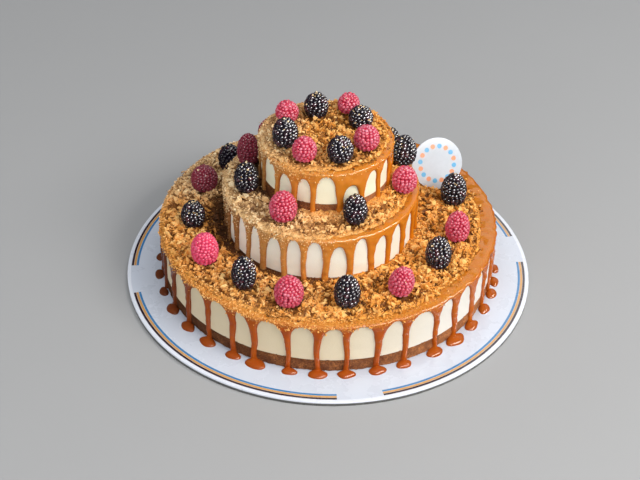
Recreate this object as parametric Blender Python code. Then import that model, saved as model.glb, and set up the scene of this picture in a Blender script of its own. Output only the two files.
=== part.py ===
"""A three-tier layered cheesecake with caramel drips, crumb topping and berries, on its round board.

Metres, +Z up. The origin is the middle of the board's underside, +X is the viewer's right and +Y
points away from the viewer. Each tier is a crust, a cheesecake layer, a caramel skin whose drips
run down the side, and a blanket of crumbs. The berries and the round tag stand on the crumbs.
"""

import bpy
import math
import random
from collections import namedtuple

MM = 0.001
GAP = 0.3 * MM  # clearance between pieces that touch

# Board
BOARD_RADIUS = 165 * MM
BOARD_THICKNESS = 4 * MM
BOARD_EDGE_ROUNDING = 1.1 * MM
BOARD_STEPS = 60

# Caramel skin
SHEET_THICKNESS = 1.2 * MM  # over a tier's top
LAYER_CHAMFER = 1.2 * MM  # the cheesecake's top edge, under the caramel
SKIN_CLEARANCE = 0.35 * MM  # between a tier's side and its drips
RIM_PROUD = 2.3 * MM  # how far the caramel's rim stands out from the side
RIM_INSET = 3.6 * MM  # where the rim starts to round over, inside the side
RIM_SHOULDER = (0.8 * MM, 1.3 * MM)  # outwards and down from the side's top corner
ARCH_SIDE = 0.24  # share of a gap between drips that each side of its arch takes
SKIN_LIP = 0.1 * MM  # keeps the inside of the skin off the cheesecake's chamfer

# Crust
CRUST_RIPPLE = 0.5 * MM

# Crumbs
CRUMB_SEAT = 1.2 * MM  # crumb depth under a berry or the tag
SEAT_RADIUS = 8.5 * MM
SEAT_SLOPE = 0.5  # of the crumbs round a seat
CRUMB_DEPTH = 2.7 * MM
CRUMB_BUMP = 1.6 * MM
CRUMB_LEAST = 0.8 * MM
CRUMB_STRAY = 1.2 * MM  # how far a bump strays from its place
CRUMB_TAPER = 3  # the blanket thins over a third of its width, towards its outer edge
CRUMB_EDGE = 0.35  # share of its depth and bumps that is left at that edge
CRUMB_WAVE = 2.5 * MM  # of the blanket's outer edge, five times round

# Berries: rings of bumps from the blunt base to the tip, as (share of height, share of radius)
BERRY_RINGS = ((0.05, 0.62), (0.24, 0.95), (0.48, 1.0), (0.72, 0.84), (0.91, 0.5))
BERRY_COLUMNS = 10
BERRY_RELIEF = 0.055

# Round tag standing in the crumbs
TAG_RADIUS = 21.5 * MM
TAG_THICKNESS = 1.2 * MM
TAG_AZIMUTH = 29
TAG_DISTANCE = 101.5 * MM
TAG_LEAN = 25
TAG_TURN = 14
TAG_STEPS = 36
TAG_SEATS = (-10 * MM, 0, 10 * MM)  # along the tag's foot, where the crumbs are pressed down

Tier = namedtuple(
    "Tier",
    "name centre wall_radius height crust_height steps"
    " drip_width arch_drop drips drip_foot crumb_radius crumb_columns crumb_rows",
)
Drip = namedtuple("Drip", "azimuth arch_drop pool pool_turn", defaults=(0,))
Berry = namedtuple("Berry", "kind azimuth distance width height lean", defaults=(0,))

# Drips, anticlockwise from the left: azimuth in degrees, how far the arch after the drip stays
# below the caramel's top in mm, the width of the pool it ends in, in mm, and how many degrees
# round from the drip that pool lies
BOTTOM_DRIPS = (
    (-180, 3, 10), (-172.5, 3, 12, 2), (-163.3, 4, 11, 2.3), (-153.2, 5, 14, 1.9),
    (-142.7, 3, 14, 1.7), (-132.1, 3, 15, 1.1), (-121.6, 3, 13, 1.1), (-113.6, 3, 17, 1.3),
    (-102, 3, 12, 1), (-92.4, 3, 15, 0.4), (-83, 3, 14), (-72.7, 3, 14, -0.3),
    (-63.1, 3, 13, -0.9), (-51, 3, 15, -1.3), (-42.1, 3, 18, -0.9), (-32.1, 3, 14, -1.7),
    (-22.6, 3, 13, -1.4), (-13.6, 4, 13, -1.9), (-6.6, 3, 12, -2.4), (-0.4, 4, 11, -1.6),
)
MIDDLE_DRIPS = (
    (-174, 5, 0), (-161, 5, 0), (-149, 3, 0), (-137, 3, 0), (-125, 6, 0), (-111, 3, 0),
    (-99, 3, 0), (-86, 8, 0), (-72, 4, 0), (-58, 8, 0), (-46, 5, 0), (-32, 5, 0), (-18, 5, 0),
    (-6, 4, 0),
)
TOP_DRIPS = (
    (-176, 4, 0), (-158, 4, 0), (-136, 9, 0), (-117, 8, 0), (-100, 4, 0), (-77, 14, 0),
    (-56, 7, 0), (-37, 5, 0), (-17, 5, 0),
)
BACK_PITCH = {"bottom": 9.7, "middle": 12.9, "top": 19.5}  # degrees between drips at the back
BACK_POOL = 13

# Berries: kind, azimuth, distance from the tier's axis, width and height in mm, lean in degrees
BOTTOM_BERRIES = (
    ("dark", 143, 105, 20, 24), ("rasp", 162, 108, 23, 22), ("dark", -171, 109, 20, 23),
    ("rasp", -146, 114, 22, 27), ("dark", -124, 112, 20, 28), ("rasp", -104, 115, 23, 25),
    ("dark", -82, 113, 21, 28), ("rasp", -61, 112, 20, 25, 12), ("dark", -36, 106, 21, 28),
    ("rasp", -15, 106, 20, 27), ("dark", 12, 104, 22, 29), ("rasp", 38.5, 112, 20.5, 21),
    ("dark", 76, 109, 21, 27), ("rasp", 112, 107, 22, 25),
)
MIDDLE_BERRIES = (
    ("rasp", 161, 62, 19, 28), ("dark", -164, 60.5, 20, 26), ("rasp", -118, 60, 22, 25),
    ("dark", -64, 60.5, 19.5, 25), ("rasp", -10, 65.8, 20.5, 22), ("dark", 21.5, 69.5, 22, 26),
    ("dark", 39, 69.5, 18.5, 21), ("rasp", 78, 68.5, 19.5, 24), ("dark", 104, 67.5, 19, 25),
    ("rasp", 131, 66, 19.5, 23),
)
TOP_BERRIES = (
    ("rasp", 150, 36, 19, 17), ("dark", 109, 26, 20, 21), ("rasp", 62, 36, 18, 17),
    ("dark", 22, 28.5, 20, 19), ("rasp", -31, 36, 20.5, 20), ("dark", -150, 36, 20.5, 25),
    ("rasp", -114, 39.5, 19.5, 20), ("dark", -73, 37.5, 21, 21),
)


def with_back(name, drips):
    """The drips that are listed, then evenly spaced ones round the back."""
    first, last = drips[0][0] + 360, drips[-1][0]
    count = round((first - last) / BACK_PITCH[name]) - 1
    pitch = (first - last) / (count + 1)
    pool = BACK_POOL if drips[0][2] else 0
    back = [(last + pitch * (k + 1), 3 + 2 * (k % 3), pool) for k in range(count)]
    return [Drip(*drip) for drip in [*drips, *back]]


TIERS = (
    Tier("bottom", (-1 * MM, 3 * MM), 134 * MM, 45.5 * MM, 11 * MM, 60,
         5.6 * MM, 13 * MM, with_back("bottom", BOTTOM_DRIPS), 0, 124 * MM, 86, 6),
    Tier("middle", (-7 * MM, -5 * MM), 75 * MM, 40.9 * MM, 3.5 * MM, 44,
         4.4 * MM, 15 * MM, with_back("middle", MIDDLE_DRIPS), 4.4 * MM, 68 * MM, 54, 3),
    Tier("top", (-4 * MM, -0.5 * MM), 50.5 * MM, 40.3 * MM, 11 * MM, 32,
         4.2 * MM, 18 * MM, with_back("top", TOP_DRIPS), 4.4 * MM, 44 * MM, 0, 8),
)
BERRIES = {
    "bottom": [Berry(*berry) for berry in BOTTOM_BERRIES],
    "middle": [Berry(*berry) for berry in MIDDLE_BERRIES],
    "top": [Berry(*berry) for berry in TOP_BERRIES],
}


def clear_scene():
    for obj in list(bpy.data.objects):
        bpy.data.objects.remove(obj, do_unlink=True)


def material(name, colour, roughness, coat=0.0):
    made = bpy.data.materials.new(name)
    made.use_nodes = True
    shader = made.node_tree.nodes["Principled BSDF"]
    shader.inputs["Base Color"].default_value = (*colour, 1)
    shader.inputs["Roughness"].default_value = roughness
    shader.inputs["Metallic"].default_value = 0
    shader.inputs["Coat Weight"].default_value = coat
    return made


def polar(radius, degrees, z=0.0, centre=(0.0, 0.0)):
    angle = math.radians(degrees)
    return (centre[0] + radius * math.cos(angle), centre[1] + radius * math.sin(angle), z)


def solid(name, points, faces, finish, parent=None, smooth_below=35):
    """A mesh object of one closed surface, shaded smooth but for its sharp edges."""
    mesh = bpy.data.meshes.new(name)
    mesh.from_pydata(points, [], faces)
    mesh.validate()
    mesh.shade_smooth()
    mesh.set_sharp_from_angle(angle=math.radians(smooth_below))
    mesh.materials.append(finish)
    obj = bpy.data.objects.new(name, mesh)
    bpy.context.scene.collection.objects.link(obj)
    obj.parent = parent
    return obj


def turned(name, profile, steps, finish, parent=None, ripple=0.0, seed=1):
    """A solid turned about Z from (radius, z) points, given from the underside up.

    ripple takes up to that much off the radius, differently at each step and height.
    """
    rng = random.Random(seed)
    points = [(0, 0, profile[0][1])]
    for radius, z in profile:
        for step in range(steps):
            points.append(polar(radius - ripple * rng.random(), 360 * step / steps, z))
    points.append((0, 0, profile[-1][1]))
    faces = []
    for step in range(steps):
        after = (step + 1) % steps
        faces.append((0, 1 + after, 1 + step))
        for row in range(len(profile) - 1):
            low, high = 1 + row * steps, 1 + (row + 1) * steps
            faces.append((low + step, low + after, high + after, high + step))
        top = 1 + (len(profile) - 1) * steps
        faces.append((top + step, top + after, len(points) - 1))
    return solid(name, points, faces, finish, parent)


def make_board(finish):
    rounding = BOARD_EDGE_ROUNDING
    profile = (
        (BOARD_RADIUS - rounding, 0),
        (BOARD_RADIUS, rounding),
        (BOARD_RADIUS, BOARD_THICKNESS - rounding),
        (BOARD_RADIUS - rounding, BOARD_THICKNESS),
    )
    return turned("board", profile, BOARD_STEPS, finish)


def layer_top(tier):
    return tier.height - SHEET_THICKNESS - GAP


def make_crust(tier, finish, parent):
    radius = tier.wall_radius
    profile = ((radius, 0), (radius, tier.crust_height))
    turned(f"{tier.name}_crust", profile, tier.steps, finish, parent, ripple=CRUST_RIPPLE)


def make_layer(tier, finish, parent):
    radius, top = tier.wall_radius, layer_top(tier)
    profile = (
        (radius, tier.crust_height + GAP),
        (radius, top - LAYER_CHAMFER),
        (radius - LAYER_CHAMFER, top),
    )
    turned(f"{tier.name}_cheesecake", profile, tier.steps, finish, parent)


def drip_sections(tier, drip):
    """(z, half width, how far out, degrees round) of a drip below the rim, from the top down."""
    half = tier.drip_width / 2
    if not drip.pool:
        return (
            (tier.drip_foot + 3 * MM, half, 3.0 * MM, 0),
            (tier.drip_foot, half * 0.55, 1.9 * MM, 0),
        )
    pool = drip.pool / 2 * MM
    return (
        (5.5 * MM, half * 0.85, 2.6 * MM, 0),
        (2.4 * MM, pool * 0.72, 2.7 * MM + pool * 0.5, drip.pool_turn),
        (0, pool, 3.7 * MM + pool * 0.75, drip.pool_turn),
    )


def make_caramel(tier, finish, parent):
    """The skin over a tier: a sheet, a rounded rim cut by arches, and a drip between every two."""
    wall, top = tier.wall_radius, tier.height
    inner = wall + SKIN_CLEARANCE
    rim = wall + RIM_PROUD
    half_angle = math.degrees(tier.drip_width / 2 / wall)
    join = top - tier.arch_drop

    columns = []  # (azimuth, height of the skin's lower edge)
    drips = tier.drips
    for k, drip in enumerate(drips):
        after = drips[(k + 1) % len(drips)].azimuth + (360 if k + 1 == len(drips) else 0)
        side = ARCH_SIDE * (after - drip.azimuth - 2 * half_angle)
        arch = top - drip.arch_drop * MM
        columns += [
            (drip.azimuth - half_angle, join),
            (drip.azimuth + half_angle, join),
            (drip.azimuth + half_angle + side, arch),
            (after - half_angle - side, arch),
        ]

    points, faces = [(0, 0, top), (0, 0, top - SHEET_THICKNESS)], []
    shoulder_out, shoulder_down = RIM_SHOULDER
    for azimuth, low in columns:
        points += [
            polar(wall - RIM_INSET, azimuth, top),
            polar(wall + shoulder_out, azimuth, top - shoulder_down),
            polar(rim, azimuth, low),
            polar(inner, azimuth, low),
            polar(inner, azimuth, layer_top(tier) - LAYER_CHAMFER + SKIN_LIP),
            polar(wall - LAYER_CHAMFER + SKIN_LIP, azimuth, top - SHEET_THICKNESS),
        ]
    rows = 6
    for k in range(len(columns)):
        here, there = 2 + rows * k, 2 + rows * ((k + 1) % len(columns))
        faces.append((0, here, there))
        for row in range(rows - 1):
            over_drip = k % 4 == 0 and row == 2
            if not over_drip:
                faces.append((here + row, here + row + 1, there + row + 1, there + row))
        faces.append((1, there + rows - 1, here + rows - 1))

    for k, drip in enumerate(drips):
        left, right = 2 + rows * 4 * k, 2 + rows * (4 * k + 1)
        above = (left + 3, left + 2, right + 2, right + 3)
        for number, (z, half, out, turn) in enumerate(drip_sections(tier, drip)):
            first = len(points)
            for share, reach in ((-1, 0), (-0.72, 0.7), (0, 1), (0.72, 0.7), (1, 0)):
                radius = inner + reach * out
                azimuth = drip.azimuth + turn + math.degrees(share * half / radius)
                points.append(polar(radius, azimuth, z))
            below = tuple(range(first, first + 5))
            if number == 0:
                inner_left, outer_left, outer_right, inner_right = above
                faces += [
                    (inner_left, below[0], below[1], outer_left),
                    (outer_left, below[1], below[2]),
                    (outer_left, below[2], outer_right),
                    (outer_right, below[2], below[3]),
                    (outer_right, below[3], below[4], inner_right),
                    (inner_right, below[4], below[0], inner_left),
                ]
            else:
                for side in range(5):
                    after = (side + 1) % 5
                    faces.append((above[side], below[side], below[after], above[after]))
            above = below
        faces.append(above[::-1])
    return solid(f"{tier.name}_caramel", points, faces, finish, parent)


def seats(tier):
    """The places on a tier's crumbs that a berry or the tag stands on."""
    found = [polar(berry.distance * MM, berry.azimuth)[:2] for berry in BERRIES[tier.name]]
    if tier.name == "bottom":
        foot = TAG_RADIUS * math.sin(math.radians(TAG_LEAN))
        middle = polar(TAG_DISTANCE, TAG_AZIMUTH)
        for along in TAG_SEATS:
            found.append((middle[0] + along, middle[1] - foot))
    return found


def crumb_edge(tier, azimuth):
    return tier.crumb_radius + CRUMB_WAVE * math.sin(5 * math.radians(azimuth) + 1)


def crumb_ring(tier, above):
    """Places round the tier above, from its wall outwards, with the faces between them.

    Gives the (x, y, share of the way out) places, the faces, and the outer and inner edges.
    """
    columns, rows = tier.crumb_columns, tier.crumb_rows
    shift = [a - b for a, b in zip(above.centre, tier.centre)]
    places, faces = [], []
    for row in range(rows + 1):
        share = row / rows
        for column in range(columns):
            azimuth = 360 * (column + 0.5 * (row % 2)) / columns
            inner = polar(above.wall_radius + SKIN_CLEARANCE, azimuth, 0, shift)
            outer = polar(crumb_edge(tier, azimuth), azimuth)
            places.append(
                (
                    inner[0] + share * (outer[0] - inner[0]),
                    inner[1] + share * (outer[1] - inner[1]),
                    share,
                )
            )
    for row in range(rows):
        low, high = row * columns, (row + 1) * columns
        for column in range(columns):
            after = (column + 1) % columns
            a, b, c, d = low + column, low + after, high + after, high + column
            faces += [(a, d, b), (d, c, b)] if row % 2 == 0 else [(a, d, c), (a, c, b)]
    last = rows * columns
    return places, faces, list(range(last, last + columns)), list(range(columns))


def crumb_disc(tier):
    """Places all over a tier's top, as rings of 6, 12, 18 and so on round the middle."""
    places, faces = [(0, 0, 0)], []
    for ring in range(1, tier.crumb_rows + 1):
        share = ring / tier.crumb_rows
        for step in range(6 * ring):
            azimuth = 60 * step / ring
            places.append((*polar(share * crumb_edge(tier, azimuth), azimuth)[:2], share))
        outer = [len(places) - 6 * ring + step for step in range(6 * ring)]
        inner = [outer[0] - 6 * (ring - 1) + step for step in range(6 * (ring - 1))] or [0]
        for sector in range(6):
            for step in range(ring):
                here = outer[sector * ring + step]
                after = outer[(sector * ring + step + 1) % len(outer)]
                within = sector * (ring - 1) + step
                behind = inner[within % len(inner)]
                faces.append((here, after, behind))
                if step < ring - 1:
                    faces.append((behind, after, inner[(within + 1) % len(inner)]))
    return places, faces, outer, []


def make_crumbs(tier, above, finish, parent):
    """A blanket of crumb-sized bumps on a tier, round the tier that stands on it, if any."""
    rng = random.Random(len(tier.name))
    floor = tier.height + GAP
    pressed = seats(tier)
    places, faces, outer, inner = crumb_ring(tier, above) if above else crumb_disc(tier)
    edges = {*outer, *inner}

    points = []
    for number, (x, y, share) in enumerate(places):
        if number not in edges:
            x += CRUMB_STRAY * (2 * rng.random() - 1)
            y += CRUMB_STRAY * (2 * rng.random() - 1)
        from_edge = min(1, CRUMB_TAPER * (1 - share))
        deep = CRUMB_DEPTH * (CRUMB_EDGE + (1 - CRUMB_EDGE) * from_edge)
        high = deep + CRUMB_BUMP * rng.choice((-1, -0.5, 0.3, 1)) * max(CRUMB_EDGE, from_edge)
        nearest = min(math.hypot(x - px, y - py) for px, py in pressed)
        most = CRUMB_SEAT + SEAT_SLOPE * max(0, nearest - SEAT_RADIUS)
        points.append((x, y, floor + min(max(high, CRUMB_LEAST), most)))

    under = {}
    for k in [*outer, *inner]:
        under[k] = len(points)
        points.append((points[k][0], points[k][1], floor))
    middle = len(points)
    if not inner:
        points.append((0, 0, floor))
    for number, k in enumerate(outer):
        after = outer[(number + 1) % len(outer)]
        faces.append((k, under[k], under[after], after))
        if not inner:
            faces.append((under[k], middle, under[after]))
            continue
        near, near_after = inner[number], inner[(number + 1) % len(inner)]
        faces.append((under[k], under[near], under[near_after], under[after]))
        faces.append((under[near], near, near_after, under[near_after]))
    return solid(f"{tier.name}_crumbs", points, faces, finish, parent, smooth_below=20)


def berry_mesh(name, width, height, finish):
    """A berry on its blunt base at the origin: rings of bumps, each bump beside a dip."""
    points = [(0, 0, 0)]
    for row, (up, share) in enumerate(BERRY_RINGS):
        for column in range(BERRY_COLUMNS):
            relief = BERRY_RELIEF if (row + column) % 2 else -BERRY_RELIEF
            radius = width / 2 * share * (1 - BERRY_RELIEF + relief)
            points.append(polar(radius, 360 * column / BERRY_COLUMNS, height * up))
    points.append((0, 0, height))
    faces, last = [], len(points) - 1
    for column in range(BERRY_COLUMNS):
        after = (column + 1) % BERRY_COLUMNS
        faces.append((0, 1 + after, 1 + column))
        for row in range(len(BERRY_RINGS) - 1):
            low, high = 1 + row * BERRY_COLUMNS, 1 + (row + 1) * BERRY_COLUMNS
            a, b, c, d = low + column, low + after, high + after, high + column
            bump_first = (row + column) % 2
            faces += [(a, b, d), (b, c, d)] if not bump_first else [(a, b, c), (a, c, d)]
        faces.append((last - BERRY_COLUMNS + column, last - BERRY_COLUMNS + after, last))
    return solid(name, points, faces, finish)


def make_berries(tier, finishes, parent, numbers):
    for berry in BERRIES[tier.name]:
        numbers[berry.kind] += 1
        name = {"rasp": "raspberry", "dark": "dark_berry"}[berry.kind]
        obj = berry_mesh(
            f"{name}_{numbers[berry.kind]:02d}", berry.width * MM, berry.height * MM,
            finishes[berry.kind],
        )
        lean = math.radians(berry.lean)
        base_radius = berry.width / 2 * MM * BERRY_RINGS[0][1]
        seat = tier.height + CRUMB_SEAT + 2 * GAP + base_radius * math.sin(lean)
        obj.parent = parent
        obj.location = polar(berry.distance * MM, berry.azimuth, seat)
        obj.rotation_euler = (0, -lean, math.radians(berry.azimuth * 3))


def make_tag(tier, finish, parent):
    """The round tag, standing on its edge in the crumbs and leaning back."""
    bpy.ops.mesh.primitive_cylinder_add(
        vertices=TAG_STEPS, radius=TAG_RADIUS, depth=TAG_THICKNESS, end_fill_type="NGON"
    )
    tag = bpy.context.object
    tag.name = tag.data.name = "tag"
    tag.data.materials.append(finish)
    tag.data.shade_smooth()
    tag.data.set_sharp_from_angle(angle=math.radians(35))
    lean = math.radians(TAG_LEAN)
    reach = TAG_RADIUS * math.cos(lean) + TAG_THICKNESS / 2 * math.sin(lean)
    tag.parent = parent
    height = tier.height + CRUMB_SEAT + 2 * GAP + reach
    tag.location = polar(TAG_DISTANCE, TAG_AZIMUTH, height)
    tag.rotation_euler = (math.radians(90) - lean, 0, math.radians(TAG_TURN))


def main():
    clear_scene()
    crust = material("crust", (0.30, 0.12, 0.045), 0.85)
    cheesecake = material("cheesecake", (0.86, 0.76, 0.56), 0.5)
    caramel = material("caramel", (0.56, 0.19, 0.03), 0.2, coat=0.6)
    crumbs = material("crumbs", (0.60, 0.27, 0.075), 0.8)
    white_card = material("white card", (0.84, 0.85, 0.88), 0.35)
    berry_finishes = {
        "rasp": material("raspberry", (0.60, 0.04, 0.09), 0.45),
        "dark": material("dark berry", (0.012, 0.008, 0.02), 0.25),
    }

    make_board(white_card)
    base = BOARD_THICKNESS + GAP
    numbers = {"rasp": 0, "dark": 0}
    for tier, above in zip(TIERS, [*TIERS[1:], None]):
        place = bpy.data.objects.new(f"{tier.name}_tier", None)
        bpy.context.scene.collection.objects.link(place)
        place.location = (*tier.centre, base)
        make_crust(tier, crust, place)
        make_layer(tier, cheesecake, place)
        make_caramel(tier, caramel, place)
        make_crumbs(tier, above, crumbs, place)
        make_berries(tier, berry_finishes, place, numbers)
        if tier.name == "bottom":
            make_tag(tier, white_card, place)
        base += tier.height + GAP


main()
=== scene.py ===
"""Looks of a layered cheesecake: three tiers with caramel drips, crumbs and berries, on a round board.

Everything is in metres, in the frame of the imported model: +X is the viewer's right, +Y points away
from the viewer, +Z is up, and the origin is the middle of the board's underside. Azimuths in tables
are in degrees: 0 is to the viewer's right, -90 towards the viewer and 180 to the left.
"""

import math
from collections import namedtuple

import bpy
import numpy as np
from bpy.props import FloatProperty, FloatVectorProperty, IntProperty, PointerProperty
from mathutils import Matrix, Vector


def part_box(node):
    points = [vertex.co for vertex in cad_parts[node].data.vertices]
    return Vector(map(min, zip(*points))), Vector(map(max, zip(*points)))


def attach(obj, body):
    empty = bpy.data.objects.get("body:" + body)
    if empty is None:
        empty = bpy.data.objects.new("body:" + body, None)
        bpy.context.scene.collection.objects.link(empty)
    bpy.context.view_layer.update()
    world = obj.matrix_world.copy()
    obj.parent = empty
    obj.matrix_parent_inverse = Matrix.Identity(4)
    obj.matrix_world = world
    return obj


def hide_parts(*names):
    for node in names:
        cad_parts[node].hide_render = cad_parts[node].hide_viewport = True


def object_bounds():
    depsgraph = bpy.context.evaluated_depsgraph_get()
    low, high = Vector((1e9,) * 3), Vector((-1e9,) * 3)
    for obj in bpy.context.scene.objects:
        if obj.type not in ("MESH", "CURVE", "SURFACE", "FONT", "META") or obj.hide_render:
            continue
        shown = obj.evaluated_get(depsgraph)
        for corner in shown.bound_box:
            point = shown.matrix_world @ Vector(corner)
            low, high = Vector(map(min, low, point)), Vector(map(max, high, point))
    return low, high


bl_info = {
    "name": "Layered Cheesecake",
    "version": (1, 0, 0),
    "blender": (4, 5, 0),
    "location": "3D View > Sidebar > Cheesecake",
    "description": "Dresses a three-tier cheesecake with caramel, crumbs and berries",
    "category": "Add Mesh",
}

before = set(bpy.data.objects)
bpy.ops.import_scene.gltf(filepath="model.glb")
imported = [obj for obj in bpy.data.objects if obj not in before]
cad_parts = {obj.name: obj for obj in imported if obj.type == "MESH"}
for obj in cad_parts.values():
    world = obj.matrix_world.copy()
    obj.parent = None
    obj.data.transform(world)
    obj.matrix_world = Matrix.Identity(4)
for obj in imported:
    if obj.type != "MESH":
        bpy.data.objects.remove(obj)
CAD_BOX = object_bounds()

MM = 0.001
CM2 = 1e4  # square centimetres in a square metre
BODY = "root"

# Drips of each tier: azimuth, how far the arch after the drip stays below the caramel's top and the
# width of the pool it ends in, both in millimetres, and how far that arch leans to the right
DRIPS = {
    "bottom": (
        (-180, 3, 10, 0), (-172.5, 3, 12, 0), (-163.3, 4, 11, 0), (-153.2, 5, 14, 0.1),
        (-142.7, 3, 14, 0), (-132.1, 3, 15, -0.1), (-121.6, 3, 13, -0.3), (-113.6, 3, 17, -0.1),
        (-102, 3, 12, 0), (-92.4, 3, 15, 0.1), (-83, 3, 14, 0), (-72.7, 3, 14, 0.15),
        (-63.1, 3, 13, 0), (-51, 3, 15, 0.1), (-42.1, 3, 18, 0), (-32.1, 3, 14, 0),
        (-22.6, 3, 13, 0), (-13.6, 4, 13, 0), (-6.6, 3, 12, 0), (-0.4, 4, 11, 0),
    ),
    "middle": (
        (-174, 5, 0, 0), (-161, 5, 0, 0), (-149, 3, 0, 0), (-137, 3, 0, 0), (-125, 6, 0, 0.1),
        (-111, 3, 0, 0), (-99, 3, 0, 0), (-86, 8, 0, 0), (-72, 4, 0, 0), (-58, 8, 0, 0.1),
        (-46, 5, 0, 0), (-32, 5, 0, 0), (-18, 5, 0, 0), (-6, 4, 0, 0),
    ),
    "top": (
        (-176, 4, 0, 0), (-158, 4, 0, 0), (-136, 9, 0, 0), (-117, 8, 0, 0), (-100, 4, 0, 0),
        (-77, 14, 0, 0), (-56, 7, 0, 0.1), (-37, 5, 0, 0), (-17, 5, 0, 0),
    ),
}
# Degrees from each of the bottom tier's drips round to the pool it ends in
POOL_TURNS = (0, 2, 2.3, 1.9, 1.7, 1.1, 1.1, 1.3, 1, 0.4, 0, -0.3, -0.9, -1.3, -0.9, -1.7, -1.4,
              -1.9, -2.4, -1.6)
BACK_PITCH = {"bottom": 9.7, "middle": 12.9, "top": 19.5}  # degrees between drips at the back
BACK_POOL = 13  # width in millimetres of the pools at the back


class Tier:
    """One tier's sizes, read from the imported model."""

    def __init__(self, name, above):
        self.name, self.above = name, above
        low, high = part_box(f"{name}_cheesecake")
        self.centre = np.array([(low.x + high.x) / 2, (low.y + high.y) / 2])
        self.wall = (high.x - low.x) / 2
        self.layer_top = high.z
        self.base, self.crust_top = (corner.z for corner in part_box(f"{name}_crust"))
        self.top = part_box(f"{name}_caramel")[1].z
        self.seed = len(name)  # for its random shapes

    def at(self, radius, azimuth):
        """The places at a radius and azimuths about the tier's axis: an array of x and one of y."""
        return np.array([self.centre[0] + radius * np.cos(azimuth),
                         self.centre[1] + radius * np.sin(azimuth)])

    def far(self, x, y):
        """How far a place is from the tier's axis."""
        return np.hypot(x - self.centre[0], y - self.centre[1])

    def azimuth(self, x, y):
        """The direction of a place from the tier's axis, in radians."""
        return np.arctan2(y - self.centre[1], x - self.centre[0])

    def drips(self):
        """The drips in front, then evenly spaced ones round the back."""
        front = DRIPS[self.name]
        first, last = front[0][0] + 360, front[-1][0]
        count = round((first - last) / BACK_PITCH[self.name]) - 1
        pitch = (first - last) / (count + 1)
        pool = BACK_POOL if front[0][2] else 0
        back = [(last + pitch * (k + 1), 3 + 2 * (k % 3), pool, 0) for k in range(count)]
        return [*front, *back]


TOP = Tier("top", None)
MIDDLE = Tier("middle", TOP)
BOTTOM = Tier("bottom", MIDDLE)
TIERS = (BOTTOM, MIDDLE, TOP)
BERRIES = sorted(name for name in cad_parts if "berry" in name)


# Mesh helpers


def build_mesh(name, points, faces, smooth=True):
    """A mesh from an (n, 3) array of points and an (m, 3) or (m, 4) array of faces."""
    faces = np.ascontiguousarray(faces, np.int32)
    mesh = bpy.data.meshes.new(name)
    mesh.vertices.add(len(points))
    mesh.vertices.foreach_set("co", np.asarray(points, np.float32).ravel())
    mesh.loops.add(faces.size)
    mesh.loops.foreach_set("vertex_index", faces.ravel())
    mesh.polygons.add(len(faces))
    mesh.polygons.foreach_set("loop_start", np.arange(0, faces.size, faces.shape[1], dtype=np.int32))
    mesh.polygons.foreach_set("use_smooth", np.full(len(faces), smooth))
    mesh.update(calc_edges=True)
    mesh.validate()
    return mesh


def place(name, mesh, finish, slot, *nodes, stands=None):
    """Puts a mesh in the scene as a piece of the cake, in the stead of the named CAD nodes."""
    mesh.materials.append(finish)
    piece = bpy.data.objects.new(name, mesh)
    bpy.context.scene.collection.objects.link(piece)
    if stands is not None:
        piece.matrix_world = stands
    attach(piece, BODY)
    if nodes:
        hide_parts(*nodes)


def all_round(count):
    """Evenly spaced azimuths all the way round."""
    return np.linspace(0, 2 * math.pi, count, endpoint=False)


def about_axis(radius, azimuth, height):
    """Points about the Z axis, from arrays or single values."""
    x, y = radius * np.cos(azimuth), radius * np.sin(azimuth)
    return np.stack(np.broadcast_arrays(x, y, height), axis=-1)


def ring_grid(rows, columns):
    """Quads of a grid closed round its columns, rows running outwards or up, facing out."""
    row, column = np.meshgrid(np.arange(rows - 1), np.arange(columns), indexing="ij")
    here = row * columns + column
    after = row * columns + (column + 1) % columns
    quads = np.stack([here, after, after + columns, here + columns], axis=-1)
    return quads.reshape(-1, 4)


def turned(profile, columns, centre, wobble=None):
    """Points and quads of a profile of (radius, z) turned about a tier's axis.

    wobble(azimuth, z) gives what is added to the radius there.
    """
    azimuth = all_round(columns)
    points = []
    for radius, z in profile:
        stray = wobble(azimuth, z) if wobble and radius else 0
        points.append(about_axis(radius + stray, azimuth, z))
    return np.concatenate(points) + (*centre, 0), ring_grid(len(profile), columns)


def rounded_side(radius, low, high, rounding, steps):
    """The profile of a disc's side, both its edges rounded, from underneath to the top."""
    turns = [math.pi / 2 * step / steps for step in range(steps + 1)]
    inner = radius - rounding
    under = [(inner + rounding * math.sin(turn), low + rounding * (1 - math.cos(turn))) for turn in turns]
    over = [(inner + rounding * math.cos(turn), high - rounding * (1 - math.sin(turn))) for turn in turns]
    return under + over


def flat_corners(node):
    """The distinct corners of a CAD node, as an (n, 3) array."""
    corners = np.array([vertex.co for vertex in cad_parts[node].data.vertices])
    return np.unique(np.round(corners, 6), axis=0)


def add_values(mesh, **values):
    """Keeps numbers for each point of a mesh, by name, for its material to read."""
    for name, numbers in values.items():
        layer = mesh.attributes.new(name, "FLOAT", "POINT")
        layer.data.foreach_set("value", np.ravel(numbers).astype(np.float32))


def by_azimuth(table, azimuth):
    """The value that a table of (azimuth in degrees, value) pairs gives in a direction in radians."""
    turns, values = zip(*table)
    degrees = np.degrees((azimuth + math.pi) % (2 * math.pi) - math.pi)
    return np.interp(degrees, turns, values)


def waves(seed, shortest, longest, count=28):
    """A smooth uneven height field of about -1 to 1, as a function of x and y in metres."""
    rng = np.random.default_rng(seed)
    length = np.exp(rng.uniform(math.log(shortest), math.log(longest), count))
    heading = rng.uniform(0, 2 * math.pi, count)
    phase = rng.uniform(0, 2 * math.pi, count)
    k = 2 * math.pi / length

    def height(x, y):
        total = np.zeros(np.broadcast(x, y).shape)
        for i in range(count):
            total += np.sin(k[i] * (np.cos(heading[i]) * x + np.sin(heading[i]) * y) + phase[i])
        return total / math.sqrt(count)

    return height


# Material helpers


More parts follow.
